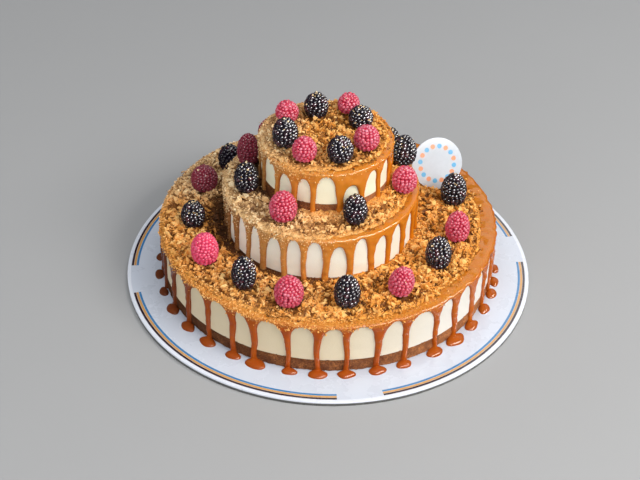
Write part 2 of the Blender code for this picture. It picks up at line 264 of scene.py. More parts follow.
def new_material(name):
    """A material with nodes, its tree and its shader."""
    finish = bpy.data.materials.new(name)
    finish.use_nodes = True
    return finish, finish.node_tree, finish.node_tree.nodes["Principled BSDF"]


def set_values(node, values):
    """Sets a node's inputs, by name."""
    for socket, value in values.items():
        node.inputs[socket].default_value = value


def add_node(tree, kind, links=None, **values):
    """A node with its values set and its inputs linked from other sockets."""
    node = tree.nodes.new(kind)
    for key, value in values.items():
        setattr(node, key, value)
    for socket, source in (links or {}).items():
        if isinstance(source, bpy.types.NodeSocket):
            tree.links.new(source, node.inputs[socket])
        else:
            set_values(node, {socket: source})
    return node


def mix_colours(tree, share, first, second):
    """The colour between first and second; each may be a socket or a colour."""
    node = add_node(tree, "ShaderNodeMix", data_type="RGBA", blend_type="MIX")
    for index, source in ((0, share), (6, first), (7, second)):
        if isinstance(source, bpy.types.NodeSocket):
            tree.links.new(source, node.inputs[index])
        else:
            node.inputs[index].default_value = (*source, 1)
    return node.outputs[2]


def calculate(tree, operation, first, second=0.0, clamp=False):
    """The result of a Math node on sockets or numbers."""
    node = add_node(tree, "ShaderNodeMath", operation=operation, use_clamp=clamp)
    for index, source in enumerate((first, second)):
        if isinstance(source, bpy.types.NodeSocket):
            tree.links.new(source, node.inputs[index])
        else:
            node.inputs[index].default_value = source
    return node.outputs[0]


def product(tree, first, *others):
    """Values multiplied together."""
    for other in others:
        first = calculate(tree, "MULTIPLY", first, other)
    return first


def weighted(tree, first, *others):
    """The sum of (value, weight) pairs."""
    total = product(tree, *first)
    for pair in others:
        total = calculate(tree, "ADD", total, product(tree, *pair))
    return total


def hypotenuse(tree, x, y):
    """How far (x, y) is from (0, 0)."""
    return calculate(tree, "SQRT", calculate(tree, "ADD", product(tree, x, x), product(tree, y, y)))


def spread(tree, value, low, high, to_low=0.0, to_high=1.0):
    """value taken from low..high to to_low..to_high, held at the ends."""
    node = add_node(tree, "ShaderNodeMapRange", {"Value": value})
    for socket, number in (("From Min", low), ("From Max", high), ("To Min", to_low), ("To Max", to_high)):
        node.inputs[socket].default_value = number
    return node.outputs["Result"]


def stored(tree, name):
    """The numbers that add_values kept under a name."""
    return add_node(tree, "ShaderNodeAttribute", attribute_name=name).outputs["Fac"]


def place_in_piece(tree):
    """Where a point is, in its piece's own frame."""
    return add_node(tree, "ShaderNodeTexCoord").outputs["Object"]


def round_place(tree):
    """A place's distance from its piece's Z axis, its azimuth and its height."""
    parts = add_node(tree, "ShaderNodeSeparateXYZ", {"Vector": place_in_piece(tree)})
    x, y = parts.outputs["X"], parts.outputs["Y"]
    return hypotenuse(tree, x, y), calculate(tree, "ARCTAN2", y, x), parts.outputs["Z"]


def speckle_group():
    """Fine uneven spots: a mask that changes over the surface, and a height for a bump."""
    if "Speckle" in bpy.data.node_groups:
        return bpy.data.node_groups["Speckle"]
    group = bpy.data.node_groups.new("Speckle", "ShaderNodeTree")
    for label, default in (("Scale", 400.0), ("Roughness", 0.6), ("Low", 0.35), ("High", 0.65)):
        socket = group.interface.new_socket(label, in_out="INPUT", socket_type="NodeSocketFloat")
        socket.default_value = default
    for label in ("Mask", "Height"):
        group.interface.new_socket(label, in_out="OUTPUT", socket_type="NodeSocketFloat")
    given, out = group.nodes.new("NodeGroupInput"), group.nodes.new("NodeGroupOutput")
    spots = add_node(
        group, "ShaderNodeTexNoise",
        {"Vector": place_in_piece(group), "Scale": given.outputs["Scale"], "Detail": 4.0,
         "Roughness": given.outputs["Roughness"]},
    )
    mask = add_node(
        group, "ShaderNodeMapRange",
        {"Value": spots.outputs["Fac"], "From Min": given.outputs["Low"], "From Max": given.outputs["High"]},
    )
    group.links.new(mask.outputs["Result"], out.inputs["Mask"])
    group.links.new(spots.outputs["Fac"], out.inputs["Height"])
    return group


def speckle(tree, scale, low, high, roughness=0.6):
    """The speckle group in a material: its mask, 0 below low and 1 above high, and its height."""
    node = add_node(tree, "ShaderNodeGroup", node_tree=speckle_group())
    set_values(node, {"Scale": scale, "Low": low, "High": high, "Roughness": roughness})
    return node.outputs["Mask"], node.outputs["Height"]


def paint(tree, shader, colour_here, relief, smooth, rough):
    """Sets a material's colour, and a roughness from smooth to rough that follows a relief."""
    tree.links.new(colour_here, shader.inputs["Base Color"])
    tree.links.new(spread(tree, relief, 0.3, 0.7, smooth, rough), shader.inputs["Roughness"])


def bump(tree, shader, height, distance, strength):
    """Gives a material's surface a fine relief from a height."""
    node = add_node(tree, "ShaderNodeBump", {"Height": height, "Distance": distance, "Strength": strength})
    tree.links.new(node.outputs["Normal"], shader.inputs["Normal"])


def shade(share, whole):
    """A colour darkened to a share of itself."""
    return tuple(share * c for c in whole)


# Sizes and colours that a user would change


def size(name, description, default):
    """A length, in metres."""
    return FloatProperty(
        name=name, description=description, default=default, subtype="DISTANCE", unit="LENGTH",
        min=0.0, precision=5,
    )


def angle(name, description, degrees):
    """An angle, given here in degrees and kept in radians."""
    return FloatProperty(
        name=name, description=description, default=math.radians(degrees), subtype="ANGLE",
        unit="ROTATION",
    )


def power(name, description, default):
    """A light's power, in watts."""
    return FloatProperty(name=name, description=description, default=default, unit="POWER")


def place_of(name, description, default):
    """A place in the scene, in metres."""
    return FloatVectorProperty(
        name=name, description=description, default=default, subtype="TRANSLATION", unit="LENGTH",
    )


def colour(name, description, default):
    """A colour, in linear light."""
    return FloatVectorProperty(
        name=name, description=description, default=default, subtype="COLOR", size=3,
        min=0.0, max=1.0,
    )


class BoardLook(bpy.types.PropertyGroup):
    edge_rounding: size("Edge rounding", "Radius of the board's rounded edge", 0.5 * MM)
    white_edge: size("White edge", "How far the white paper reaches down the board's side", 1.5 * MM)
    blue_ring: size("Blue ring", "How far inside the edge the blue ring runs", 8.0 * MM)
    gold_ring: size("Gold ring", "How far inside the edge the gold ring runs", 6.0 * MM)
    dark_ring: size("Dark ring", "How far inside the edge the dark ring runs", 4.0 * MM)
    ring_width: size("Ring width", "Width of each printed ring", 1.8 * MM)
    gap_angle: angle("Ring gap", "Half the bare stretch in the rings, four times round", 6.3)
    gap_turn: angle("Gap turn", "Azimuth of one of the bare stretches", 9.5)
    card: colour("Card", "The glossy white card", (0.60, 0.64, 0.72))
    blue: colour("Blue", "The inner ring", (0.035, 0.19, 0.42))
    gold: colour("Gold", "The middle ring", (0.62, 0.31, 0.08))
    dark: colour("Dark", "The outer ring", (0.03, 0.01, 0.015))
    rim_white: colour("Edge white", "The brighter paper outside the rings", (0.80, 0.82, 0.88))
    # Painted shade on the board's lower side: bare grey board darkened to near black
    core: colour("Core", "The bare grey board under the white paper", (0.085, 0.085, 0.08))


class LayerLook(bpy.types.PropertyGroup):
    unevenness: size("Unevenness", "How far the cheesecake's side strays in and out", 0.12 * MM)
    crust_grain: size("Crust grain", "Depth of the crust's grainy relief", 1.0 * MM)
    cream_bottom: colour("Bottom cream", "The bottom tier's cheesecake", (0.725, 0.605, 0.405))
    cream_middle: colour("Middle cream", "The middle tier's cheesecake", (0.99, 0.97, 0.82))
    cream_top: colour("Top cream", "The top tier's cheesecake", (0.99, 0.94, 0.70))
    # The colour of the painted light on the bottom tier's lit right side
    cream_pale: colour("Pale cream", "The whitest part of the bottom tier", (0.78, 0.75, 0.68))
    crust: colour("Crust", "The crust's crumb", (0.13, 0.036, 0.009))
    # Light crust is both the crust's lighter grains and the painted light on its right side
    crust_light: colour("Light crust", "The crust's lighter grains", (0.46, 0.165, 0.045))
    # Dark crust is painted shade on the crust's left side
    crust_dark: colour("Dark crust", "The crust where it has baked darkest", (0.04, 0.015, 0.006))


class CaramelLook(bpy.types.PropertyGroup):
    thickness: size("Thickness", "Of a drip and of the rim", 2.3 * MM)
    cell: size("Cell", "Spacing of the caramel's mesh", 0.75 * MM)
    shoulder: size("Shoulder", "Height of the rim's rounded shoulder", 2.4 * MM)
    inset: size("Inset", "How far inside the wall the rim starts to round over", 3.8 * MM)
    sheet: size("Sheet", "How far the caramel reaches in under the crumbs", 22 * MM)
    thin: colour("Thin", "The upper tiers' drips", (0.72, 0.215, 0.006))
    thick: colour("Thick", "The bottom tier's thicker drips", (0.375, 0.06, 0.006))
    # Painted shade on the drips of the cake's left side
    browned: colour("Browned", "The darker, duller drips on the left", (0.11, 0.03, 0.012))
    olive: colour("Olive", "The upper tiers' drips under fine dust", (0.62, 0.34, 0.11))
    # The colour of the painted shade along a drip's edges
    edge: colour("Edge", "Along a drip's edges", (0.30, 0.06, 0.008))
    rim: colour("Rim", "Caramel over the rim, golden from above", (0.54, 0.17, 0.013))
    grainy: colour("Grainy", "Crumb dust melted into the caramel", (0.80, 0.34, 0.06))
    dust: colour("Dust", "Fine pale dust on the caramel", (0.60, 0.44, 0.25))


class CrumbLook(bpy.types.PropertyGroup):
    depth: size("Depth", "Of the crumb bed", 2.1 * MM)
    relief: size("Relief", "Unevenness of the crumb bed", 1.9 * MM)
    clump: size("Clump", "How far a clump of flakes stands over the bed", 2.6 * MM)
    bank: size("Bank", "How high crumbs bank up against the next tier", 3.6 * MM)
    bed_cell: size("Bed cell", "Spacing of the bed's mesh", 1.6 * MM)
    flake: size("Flake", "Mean width of a flake", 3.7 * MM)
    grain: size("Grain", "Mean width of a loose grain", 0.95 * MM)
    flakes_per_cm2: FloatProperty(name="Flakes", description="Flakes for each cm2", default=32)
    grains_per_cm2: FloatProperty(name="Grains", description="Grains for each cm2", default=8)
    rim_grains: FloatProperty(name="Rim grains", description="Grains for each mm2 of rim", default=1.0)
    dark: colour("Dark", "The darkest crumbs", (0.13, 0.035, 0.003))
    # The colour of the painted shade at the foot of the tier above
    painted_foot_shade: colour("Soaked", "Crumbs dark with caramel", (0.05, 0.024, 0.013))
    golden: colour("Golden", "Most of the crumbs", (0.83, 0.33, 0.045))
    pale: colour("Pale", "The palest crumbs", (0.99, 0.60, 0.19))
    dusty_dark: colour("Dusty dark", "The darkest crumbs under fine dust", (0.22, 0.115, 0.05))
    dusty: colour("Dusty", "Crumbs under fine dust", (0.72, 0.48, 0.23))
    dusty_pale: colour("Dusty pale", "The palest crumbs under fine dust", (0.96, 0.80, 0.52))


class BerryLook(bpy.types.PropertyGroup):
    red_pitch: size("Raspberry bead", "Spacing of a raspberry's beads", 3.1 * MM)
    dark_pitch: size("Dark berry bead", "Spacing of a dark berry's beads", 3.5 * MM)
    red: colour("Red", "Raspberry flesh", (0.52, 0.006, 0.045))
    red_bloom: colour("Bloom", "Raspberry where its bloom is thick", (0.99, 0.43, 0.54))
    # The colour of the painted shade on the raspberries in shade at the back left
    ripe: colour("Ripe", "The ripest raspberries", (0.12, 0.005, 0.018))
    # The colour of the painted light on the brightest raspberry
    painted_berry_light: colour("Fresh", "The freshest, pinkest raspberry", (0.98, 0.07, 0.20))
    dark: colour("Dark", "Dark berry flesh", (0.006, 0.003, 0.009))
    dark_red: colour("Dark red", "The dark berry's reddish beads", (0.08, 0.006, 0.018))
    # The colour of the painted highlight on the crowns of a dark berry's beads
    dark_bloom: colour("Dark bloom", "The pale middle of a dark berry's beads", (0.30, 0.28, 0.36))


class TagLook(bpy.types.PropertyGroup):
    edge_rounding: size("Edge rounding", "Radius of the tag's rounded edge", 0.3 * MM)
    dots: IntProperty(name="Dots", description="Printed dots round the tag", default=16, min=3)
    dot_ring: size("Dot ring", "Radius of the ring of dots", 14.5 * MM)
    dot_radius: size("Dot radius", "Radius of each dot", 2.0 * MM)
    card: colour("Card", "The tag's card", (0.58, 0.62, 0.67))
    sky: colour("Sky", "Every other dot", (0.10, 0.42, 0.72))
    peach: colour("Peach", "The dots between", (0.82, 0.30, 0.12))


class StageLook(bpy.types.PropertyGroup):
    floor: colour("Floor", "The plain floor", (0.37, 0.367, 0.363))
    key_power: power("Key", "Power of the main light", 45)
    key_tint: colour("Key tint", "Colour of the main light", (1.0, 0.985, 0.96))
    key_azimuth: angle("Key azimuth", "Where the main light stands", -32)
    key_height: angle("Key elevation", "Its height above the horizon", 40)
    key_width: size("Key width", "Width of the main light", 1.5)
    key_tall: size("Key height", "Height of the main light's face", 0.8)
    key_distance: size("Key distance", "From the cake to the main light", 2.4)
    top_power: power("Top", "Power of the wide light overhead", 4.5)
    fill_power: power("Fill", "Power of the soft light in front, on the left", 8.5)
    glint_power: power("Glint", "Power of the light that only shows in reflections", 210)
    window_power: power("Window", "Power of the window that the board mirrors", 6)
    sky_strength: FloatProperty(name="Sky", description="Strength of the light all round", default=0.48)
    sky_mirrored: FloatProperty(
        name="Mirrored sky", description="Its strength in reflections", default=0.06)
    sky: colour("Sky colour", "Light from all round", (0.90, 0.94, 1.0))
    lens: FloatProperty(name="Lens", description="The camera's lens", default=84.375, unit="CAMERA")
    camera_place: place_of("Camera", "Where the camera stands", (0.0, -0.9711, 0.7768))
    camera_aim: place_of("Aim", "Where the camera looks", (-0.00701, -0.02804, 0.05))
    camera_roll: angle("Roll", "The camera's roll", 1.194)


# Board


def card_finish(look):
    """Glossy white card with three printed rings, bare in four short stretches."""
    finish, tree, shader = new_material("Printed white card")
    radius, azimuth, height = round_place(tree)
    quarter = math.pi / 2
    turn = calculate(tree, "SUBTRACT", azimuth, look.gap_turn - quarter / 2)
    turn = calculate(tree, "FLOORED_MODULO", turn, quarter)
    off_gap = calculate(tree, "ABSOLUTE", calculate(tree, "SUBTRACT", turn, quarter / 2))
    printed = calculate(tree, "GREATER_THAN", off_gap, look.gap_angle)

    mottle, relief = speckle(tree, 60.0, 0.3, 0.7)
    colour_here = mix_colours(tree, mottle, shade(0.97, look.card), look.card)
    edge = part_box("board")[1].x
    for inset, ink in ((look.blue_ring, look.blue), (look.gold_ring, look.gold),
                       (look.dark_ring, look.dark)):
        off = calculate(tree, "ABSOLUTE", calculate(tree, "SUBTRACT", radius, edge - inset))
        ring = spread(tree, off, 0.42 * look.ring_width, 0.6 * look.ring_width, 1.0, 0.0)
        colour_here = mix_colours(tree, product(tree, ring, printed), colour_here, ink)
    outermost = spread(tree, radius, edge - look.dark_ring + 0.5 * look.ring_width,
                       edge - look.dark_ring + 0.9 * look.ring_width, 0.0, 0.8)
    colour_here = mix_colours(tree, outermost, colour_here, look.rim_white)
    # Painted shade: the board's side below the paper takes the dark core colour
    paper_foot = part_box("board")[1].z - look.white_edge
    bare = spread(tree, height, paper_foot - 0.1 * MM, paper_foot + 0.1 * MM, 1.0, 0.0)
    colour_here = mix_colours(tree, bare, colour_here, look.core)
    paint(tree, shader, colour_here, relief, 0.22, 0.34)
    set_values(shader, {"Coat Weight": 0.35, "Coat Roughness": 0.12})
    bump(tree, shader, relief, 0.05 * MM, 0.3)
    return finish


class MakeBoard(bpy.types.Operator):
    """The round card board, with its rounded edge and printed rings"""

    bl_idname = "cheesecake.board"
    bl_label = "Board"

    def execute(self, context):
        look = context.scene.cheesecake_board
        radius, _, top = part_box("board")[1]
        profile = [(0.0, 0.0), *rounded_side(radius, 0.0, top, look.edge_rounding, 5)]
        profile += [(radius * share, top) for share in (0.9, 0.6, 0.3, 0.0)]
        mesh = build_mesh("cake_board", *turned(profile, 256, (0.0, 0.0)))
        place("cake_board", mesh, card_finish(look), "white_card", "board")
        return {"FINISHED"}


# Crusts and cheesecakes


def side_stray(tier, look):
    """How far a tier's side strays from its radius, as a function of azimuth and height."""
    swell = waves(tier.seed * 7, 18 * MM, 70 * MM)

    def stray(azimuth, z):
        # The waves are faded out round the middle of the back
        fade = np.clip(6 * np.abs(np.sin((azimuth - math.pi / 2) / 2)), 0, 1)
        return look.unevenness * fade * swell(azimuth * tier.wall, 2.5 * z)

    return stray


def crust_finish(look):
    """Browned biscuit crust with lighter grains, and painted light and shade by azimuth: paler on its lit
    right side, darker with few light grains on its shaded left.
    """
    finish, tree, shader = new_material("Baked crumb crust")
    fine, relief = speckle(tree, 900.0, 0.38, 0.62)
    broad, _ = speckle(tree, 140.0, 0.35, 0.68)
    baked = stored(tree, "baked")
    # Painted light: below 0 the crust is paler
    paler = spread(tree, baked, -1.0, 0.0, 0.6, 0.0)
    share = calculate(tree, "ADD", product(tree, fine, broad), paler, clamp=True)
    colour_here = mix_colours(tree, share, look.crust, look.crust_light)
    # Painted shade: above 0 the crust is darkened
    darkest = spread(tree, baked, 0.0, 1.0, 0.0, 0.8)
    colour_here = mix_colours(tree, darkest, colour_here, look.crust_dark)
    paint(tree, shader, colour_here, relief, 0.7, 0.95)
    set_values(shader, {"Specular IOR Level": 0.15})
    bump(tree, shader, relief, 0.6 * MM, 0.8)
    return finish


def cheesecake_finish(tier, look):
    """Smooth cream with faint mottling and pores, and painted light: whiter on the bottom tier's lit right
    side.
    """
    finish, tree, shader = new_material(f"Baked cheesecake, {tier.name} tier")
    cream = getattr(look, f"cream_{tier.name}")
    deep_cream = tuple(share * c for share, c in zip((0.95, 0.90, 0.80), cream))
    broad, swell = speckle(tree, 38.0, 0.35, 0.75, 0.5)
    pores, relief = speckle(tree, 700.0, 0.3, 0.45)
    colour_here = mix_colours(tree, product(tree, broad, 0.3), cream, deep_cream)
    shaded = product(tree, calculate(tree, "SUBTRACT", 1.0, pores), 0.25)
    colour_here = mix_colours(tree, shaded, colour_here, deep_cream)
    # Painted light: the stored pale share whitens the lit side
    colour_here = mix_colours(tree, stored(tree, "pale"), colour_here, look.cream_pale)
    paint(tree, shader, colour_here, swell, 0.42, 0.6)
    set_values(shader, {"Subsurface Weight": 0.08, "Subsurface Radius": (1.0, 0.85, 0.6),
                        "Subsurface Scale": 2.0 * MM, "Specular IOR Level": 0.3})
    bump(tree, shader, relief, 0.3 * MM, 0.5)
    return finish


CRUST_PAINTED_SHADE = (
    # Painted shade and light on the crusts: azimuth, and -1 palest, painted light, to 1 darkest, painted
    # shade
    (-180, 0.9), (-135, 0.8), (-115, 0.45), (-97, 0.1), (-80, 0.0), (-60, -0.35), (-30, -0.7),
    (0, -0.7), (60, -0.3), (120, 0.3), (180, 0.9),
)
# The upper tiers' crusts get less painted shade
CRUST_PAINTED_SHADE_ADDED = {"bottom": 0.0, "middle": -0.15, "top": -0.45}  # what each tier's crust adds to it
CHEESECAKE_PAINTED_LIGHT = (
    # Painted light on the bottom tier's cheesecake, whiter on its lit side: azimuth and share
    (-180, 0.0), (-105, 0.0), (-85, 0.1), (-65, 0.5), (-45, 0.95), (0, 1.0), (60, 0.5), (120, 0.0),
    (180, 0.0),
)


class MakeLayers(bpy.types.Operator):
    """Each tier's grainy crust and the smooth cheesecake on it"""

    bl_idname = "cheesecake.layers"
    bl_label = "Crusts and cheesecakes"

    def execute(self, context):
        look = context.scene.cheesecake_layers
        crust = crust_finish(look)
        for tier in TIERS:
            self.make_crust(tier, look, crust)
            self.make_cheesecake(tier, look, cheesecake_finish(tier, look))
        return {"FINISHED"}

    def make_crust(self, tier, look, finish):
        rng = np.random.default_rng(tier.seed + 40)
        across, up = 1.15 * MM, 1 * MM  # spacing of the crust's points
        columns = round(2 * math.pi * tier.wall / across)
        rows = max(4, round((tier.crust_top - tier.base) / up))
        clumps = waves(tier.seed + 3, 4 * MM, 14 * MM)

        def grain(azimuth, z):
            lumps = clumps(azimuth * tier.wall, z)
            return look.crust_grain * (0.55 * rng.random(len(azimuth)) + 0.28 * lumps - 0.55)

        profile = [(tier.wall, z) for z in np.linspace(tier.base, tier.crust_top, rows + 1)]
        points, _ = turned(profile, columns, tier.centre, grain)
        points = points.reshape(rows + 1, columns, 3)
        points[1:-1, :, 2] += (rng.random((rows - 1, columns)) - 0.5) * 0.5 * MM
        # The upper edge is ragged, and the top closes in under the cheesecake
        points[-1, :, 2] += (rng.random(columns) - 0.3) * 0.5 * MM
        lid, _ = turned([(tier.wall - 4 * MM, tier.crust_top)], columns, tier.centre)
        points = np.concatenate([points.reshape(-1, 3), lid])
        mesh = build_mesh(f"{tier.name}_tier_crust", points, ring_grid(rows + 2, columns), smooth=False)
        turn = tier.azimuth(points[:, 0], points[:, 1])
        # Painted shade and light on the crust, by azimuth
        add_values(mesh, baked=by_azimuth(CRUST_PAINTED_SHADE, turn) + CRUST_PAINTED_SHADE_ADDED[tier.name])
        place(f"{tier.name}_tier_crust", mesh, finish, "crust", f"{tier.name}_crust")

    def make_cheesecake(self, tier, look, finish):
        side = side_stray(tier, look)
        cell, rows, bevel = 2.3 * MM, 16, 1.2 * MM
        columns = round(2 * math.pi * tier.wall / cell)
        heights = np.linspace(tier.crust_top - 0.2 * MM, tier.layer_top - bevel, rows)
        profile = [(tier.wall, z) for z in heights]
        profile += [(radius, tier.layer_top) for radius in (tier.wall - bevel, tier.wall * 0.5, 0.0)]

        def stray(azimuth, z):
            return side(azimuth, z) if z < tier.layer_top - 1 * MM else 0

        points, quads = turned(profile, columns, tier.centre, stray)
        mesh = build_mesh(f"{tier.name}_tier_cheesecake", points, quads)
        turn = tier.azimuth(points[:, 0], points[:, 1])
        # Painted light, on the bottom tier only
        add_values(mesh, pale=by_azimuth(CHEESECAKE_PAINTED_LIGHT, turn) * (tier.name == "bottom"))
        place(f"{tier.name}_tier_cheesecake", mesh, finish, "cheesecake", f"{tier.name}_cheesecake")


# Caramel


STRAND = {"bottom": 3.0 * MM, "middle": 2.8 * MM, "top": 2.5 * MM}  # half a drip's width
# Height of the rounded part of the arches between drips
ARCH_RISE = {"bottom": 13.5 * MM, "middle": 17.5 * MM, "top": 13 * MM}


def strand_half_width(tier, height):
    """Half the width of a drip at a height above its tier's base."""
    half = STRAND[tier.name]
    if tier.name != "bottom":
        return np.interp(height, (0, 12 * MM, 30 * MM), (0.92 * half, 0.88 * half, 1.1 * half))
    return np.interp(
        height, (0, 3 * MM, 10 * MM, 20 * MM, 32 * MM),
        (0.95 * half, 0.78 * half, 0.76 * half, 0.88 * half, 1.1 * half))


def opening_outlines(tier):
    """The openings between a tier's drips: (middle azimuth, half reach, outline) of each.

    An outline runs from below the foot of the drip on the left, up and over, and down on the
    right, as (distance to the right of the opening's middle, height above the tier's base).
    """
    rng = np.random.default_rng(11 * tier.seed)
    drips = tier.drips()
    sway = [(rng.uniform(0.1, 0.75) * MM, rng.uniform(0, 2 * math.pi), rng.uniform(24, 50) * MM)
            for _ in drips]
    widths = rng.uniform(0.85, 1.2, len(drips))
    tall = tier.top - tier.base
    found = []
    for k, (azimuth, drop, _, lean) in enumerate(drips):
        j = (k + 1) % len(drips)
        after = drips[j][0] + (360 if j == 0 else 0)
        half_gap = math.radians(after - azimuth) / 2 * tier.wall
        arch_top = tall - drop * MM
        rise = ARCH_RISE[tier.name] * rng.uniform(0.85, 1.2)
        spring = arch_top - rise
        heights = np.linspace(-6 * MM, spring, 18)

        def edge(index, side, z):
            reach, phase, length = sway[index]
            drift = reach * np.sin(2 * math.pi * z / length + phase)
            return -side * half_gap + drift + side * widths[index] * strand_half_width(tier, z)

        left, right = edge(k, 1, heights), edge(j, -1, heights)
        middle, half = (left[-1] + right[-1]) / 2, (right[-1] - left[-1]) / 2
        power = 2 / rng.uniform(1.85, 2.3)
        turn = np.linspace(math.pi, 0, 26)[1:-1]
        up = np.sin(turn) ** power
        across = np.sign(np.cos(turn)) * np.abs(np.cos(turn)) ** power
        arch = np.stack([middle + half * (across + lean * up * 2), spring + rise * up], axis=-1)
        outline = np.concatenate([
            np.stack([left, heights], axis=-1), arch,
            np.stack([right[::-1], heights[::-1]], axis=-1)])
        found.append((math.radians(azimuth + after) / 2, half_gap + 8 * MM, outline))
    return found


def distance_outside(points, outline):
    """How far each (n, 2) point lies outside an outline, less than zero within it."""
    start, end = outline[:-1], outline[1:]
    edge = end - start
    from_start = points[:, None] - start[None]
    share = (from_start * edge).sum(-1) / np.maximum((edge ** 2).sum(-1), 1e-12)
    nearest = from_start - np.clip(share, 0, 1)[..., None] * edge
    nearest = np.sqrt((nearest ** 2).sum(-1)).min(1)
    across, up = points[:, :1], points[:, 1:]
    spans = (start[:, 1] > up) != (end[:, 1] > up)
    rise = np.where(edge[:, 1] == 0, 1e-12, edge[:, 1])
    meets = across < start[:, 0] + edge[:, 0] * (up - start[:, 1]) / rise
    within = (spans & meets).sum(1) % 2 == 1
    return np.where(within, -nearest, nearest)


def caramel_skin(tier, look, layers):
    """The drips and rim of a tier: points, quads, and the caramel's thickness at each point."""
    wall, tall = tier.wall, tier.top - tier.base
    cell = look.cell * (1.0 if tier.name == "bottom" else 0.85)
    columns = round(2 * math.pi * wall / cell)
    azimuth = np.linspace(-math.pi, math.pi, columns, endpoint=False)
    foot = (0.1 if tier.name == "bottom" else 1.0) * MM
    shoulder_foot = tall - look.shoulder
    rows = round((shoulder_foot - foot) / cell) + 1
    heights = np.linspace(foot, shoulder_foot, rows)
    step = heights[1] - heights[0]

    outside = np.full((rows, columns), 1.0)
    for middle, reach, outline in opening_outlines(tier):
        turn = (azimuth - middle + math.pi) % (2 * math.pi) - math.pi
        near = np.flatnonzero(np.abs(turn) * wall < reach)
        along, up = np.meshgrid(turn[near] * wall, heights)
        found = distance_outside(np.stack([along.ravel(), up.ravel()], axis=-1), outline)
        outside[:, near] = np.minimum(outside[:, near], found.reshape(rows, len(near)))

    # A point just within an opening moves out onto its edge
    wide = np.concatenate([outside[:, -1:], outside, outside[:, :1]], axis=1)
    slope_up, slope_along = np.gradient(wide, step, 2 * math.pi * wall / columns)
    slope_up, slope_along = slope_up[:, 1:-1], slope_along[:, 1:-1]
    steep = np.maximum(np.hypot(slope_up, slope_along), 1e-6)
    shift = np.where(outside < 0, np.minimum(-outside, 1.5 * cell), 0)
    along = azimuth[None] * wall + shift * slope_along / steep
    up = heights[:, None] + shift * slope_up / steep

    swell = waves(tier.seed + 60, 5 * MM, 22 * MM)
    rounded = np.sqrt(1 - (1 - np.clip(outside / STRAND[tier.name], 0, 1)) ** 2)
    thick = look.thickness * rounded * (1 + 0.12 * swell(along, up))
    thick = np.where(outside <= 0, -0.3 * MM, thick)
    turn = along / wall
    radius = wall + side_stray(tier, layers)(turn, tier.base + up) + thick
    points = [*about_axis(radius, turn, up)]
    depth = [*np.maximum(thick, 0)]

    # The shoulder rounds over from the top of the wall, and strays up and down
    stray = 0.3 * MM * waves(tier.seed + 90, 9 * MM, 45 * MM)(azimuth * wall, 0)
    edge, sheet_drop = wall - look.inset, 0.25 * MM
    for turn_up in np.linspace(0, math.pi / 2, 8)[1:]:
        here = edge + (radius[-1] - edge) * math.cos(turn_up)
        lift = math.sin(turn_up) * (look.shoulder + stray - sheet_drop)
        points.append(about_axis(here, azimuth, shoulder_foot + lift))
        depth.append(np.maximum(thick[-1], 0.8 * look.thickness))
    # Then the sheet runs in under the crumbs
    ripple = waves(tier.seed + 70, 8 * MM, 30 * MM)
    inner_steps = max(6, round(look.sheet / (1.8 * MM)))
    for share in np.linspace(0, 1, inner_steps + 1)[1:]:
        here = edge - share * look.sheet
        lift = (1 - share) * stray + 0.25 * MM * ripple(here * np.cos(azimuth), here * np.sin(azimuth))
        points.append(about_axis(here, azimuth, tall - sheet_drop + lift - 0.2 * MM * share))
        depth.append(np.full(columns, 0.9 * look.thickness))

    quads = ring_grid(len(points), columns)
    flat = np.full(len(points) * columns, 1.0)
    flat[: rows * columns] = outside.ravel()
    corners = flat[quads]
    kept = (corners.min(1) > -1.25 * cell) & (corners.max(1) > 0)
    points = np.concatenate(points) + (*tier.centre, tier.base)
    return points, quads[kept], np.concatenate(depth)


def keep_used(points, faces, *values):
    """Drops the points that no face uses."""
    used = np.unique(faces)
    index = np.zeros(len(points), np.int64)
    index[used] = np.arange(len(used))
    return (points[used], index[faces], *(value[used] for value in values))


def pool_dome(tier, azimuth, pool_turn, width, rng):
    """The glossy pool that a drip of the bottom tier ends in, on the board."""
    columns, rings = 36, 10
    turn = all_round(columns)
    lobes = 1 + sum(
        rng.uniform(-0.05, 0.05) * np.cos(n * turn + rng.uniform(0, 2 * math.pi)) for n in (2, 3, 4))
    half_width, half_depth = width / 2, 0.33 * width
    middle = tier.wall + 3.7 * MM + 0.375 * width - half_depth
    root = -math.radians(pool_turn) * tier.wall
    height = 1.6 * MM + 0.07 * width
    spot = math.radians(azimuth + pool_turn)
    points, depth = [], []
    for ring in range(rings + 1):
        share = math.sin(math.pi / 2 * (1 - ring / rings))
        along = share * half_width * lobes * np.sin(turn)
        out = middle + share * half_depth * lobes * np.cos(turn)
        dome = height * (1 - share ** 2.4) ** 0.55
        # It rises up the drip, next to the wall
        neck = 2.6 * MM * np.exp(
            -(((along - root) / (2.3 * MM)) ** 2) - (out - tier.wall) / (1.5 * MM))
        up = dome + neck * (1 - share ** 6)
        x = out * math.cos(spot) - along * math.sin(spot)
        y = out * math.sin(spot) + along * math.cos(spot)
        points.append(np.stack([x, y, up], axis=-1))
        # A pool's stored thickness is kept low, so it takes much of the painted edge shade
        depth.append(np.full(columns, 0.4 * max(dome, 0.5 * MM)))
    board_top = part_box("board")[1].z
    points = np.concatenate(points) + (*tier.centre, board_top - 0.05 * MM)
    return points, ring_grid(rings + 1, columns), np.concatenate(depth)


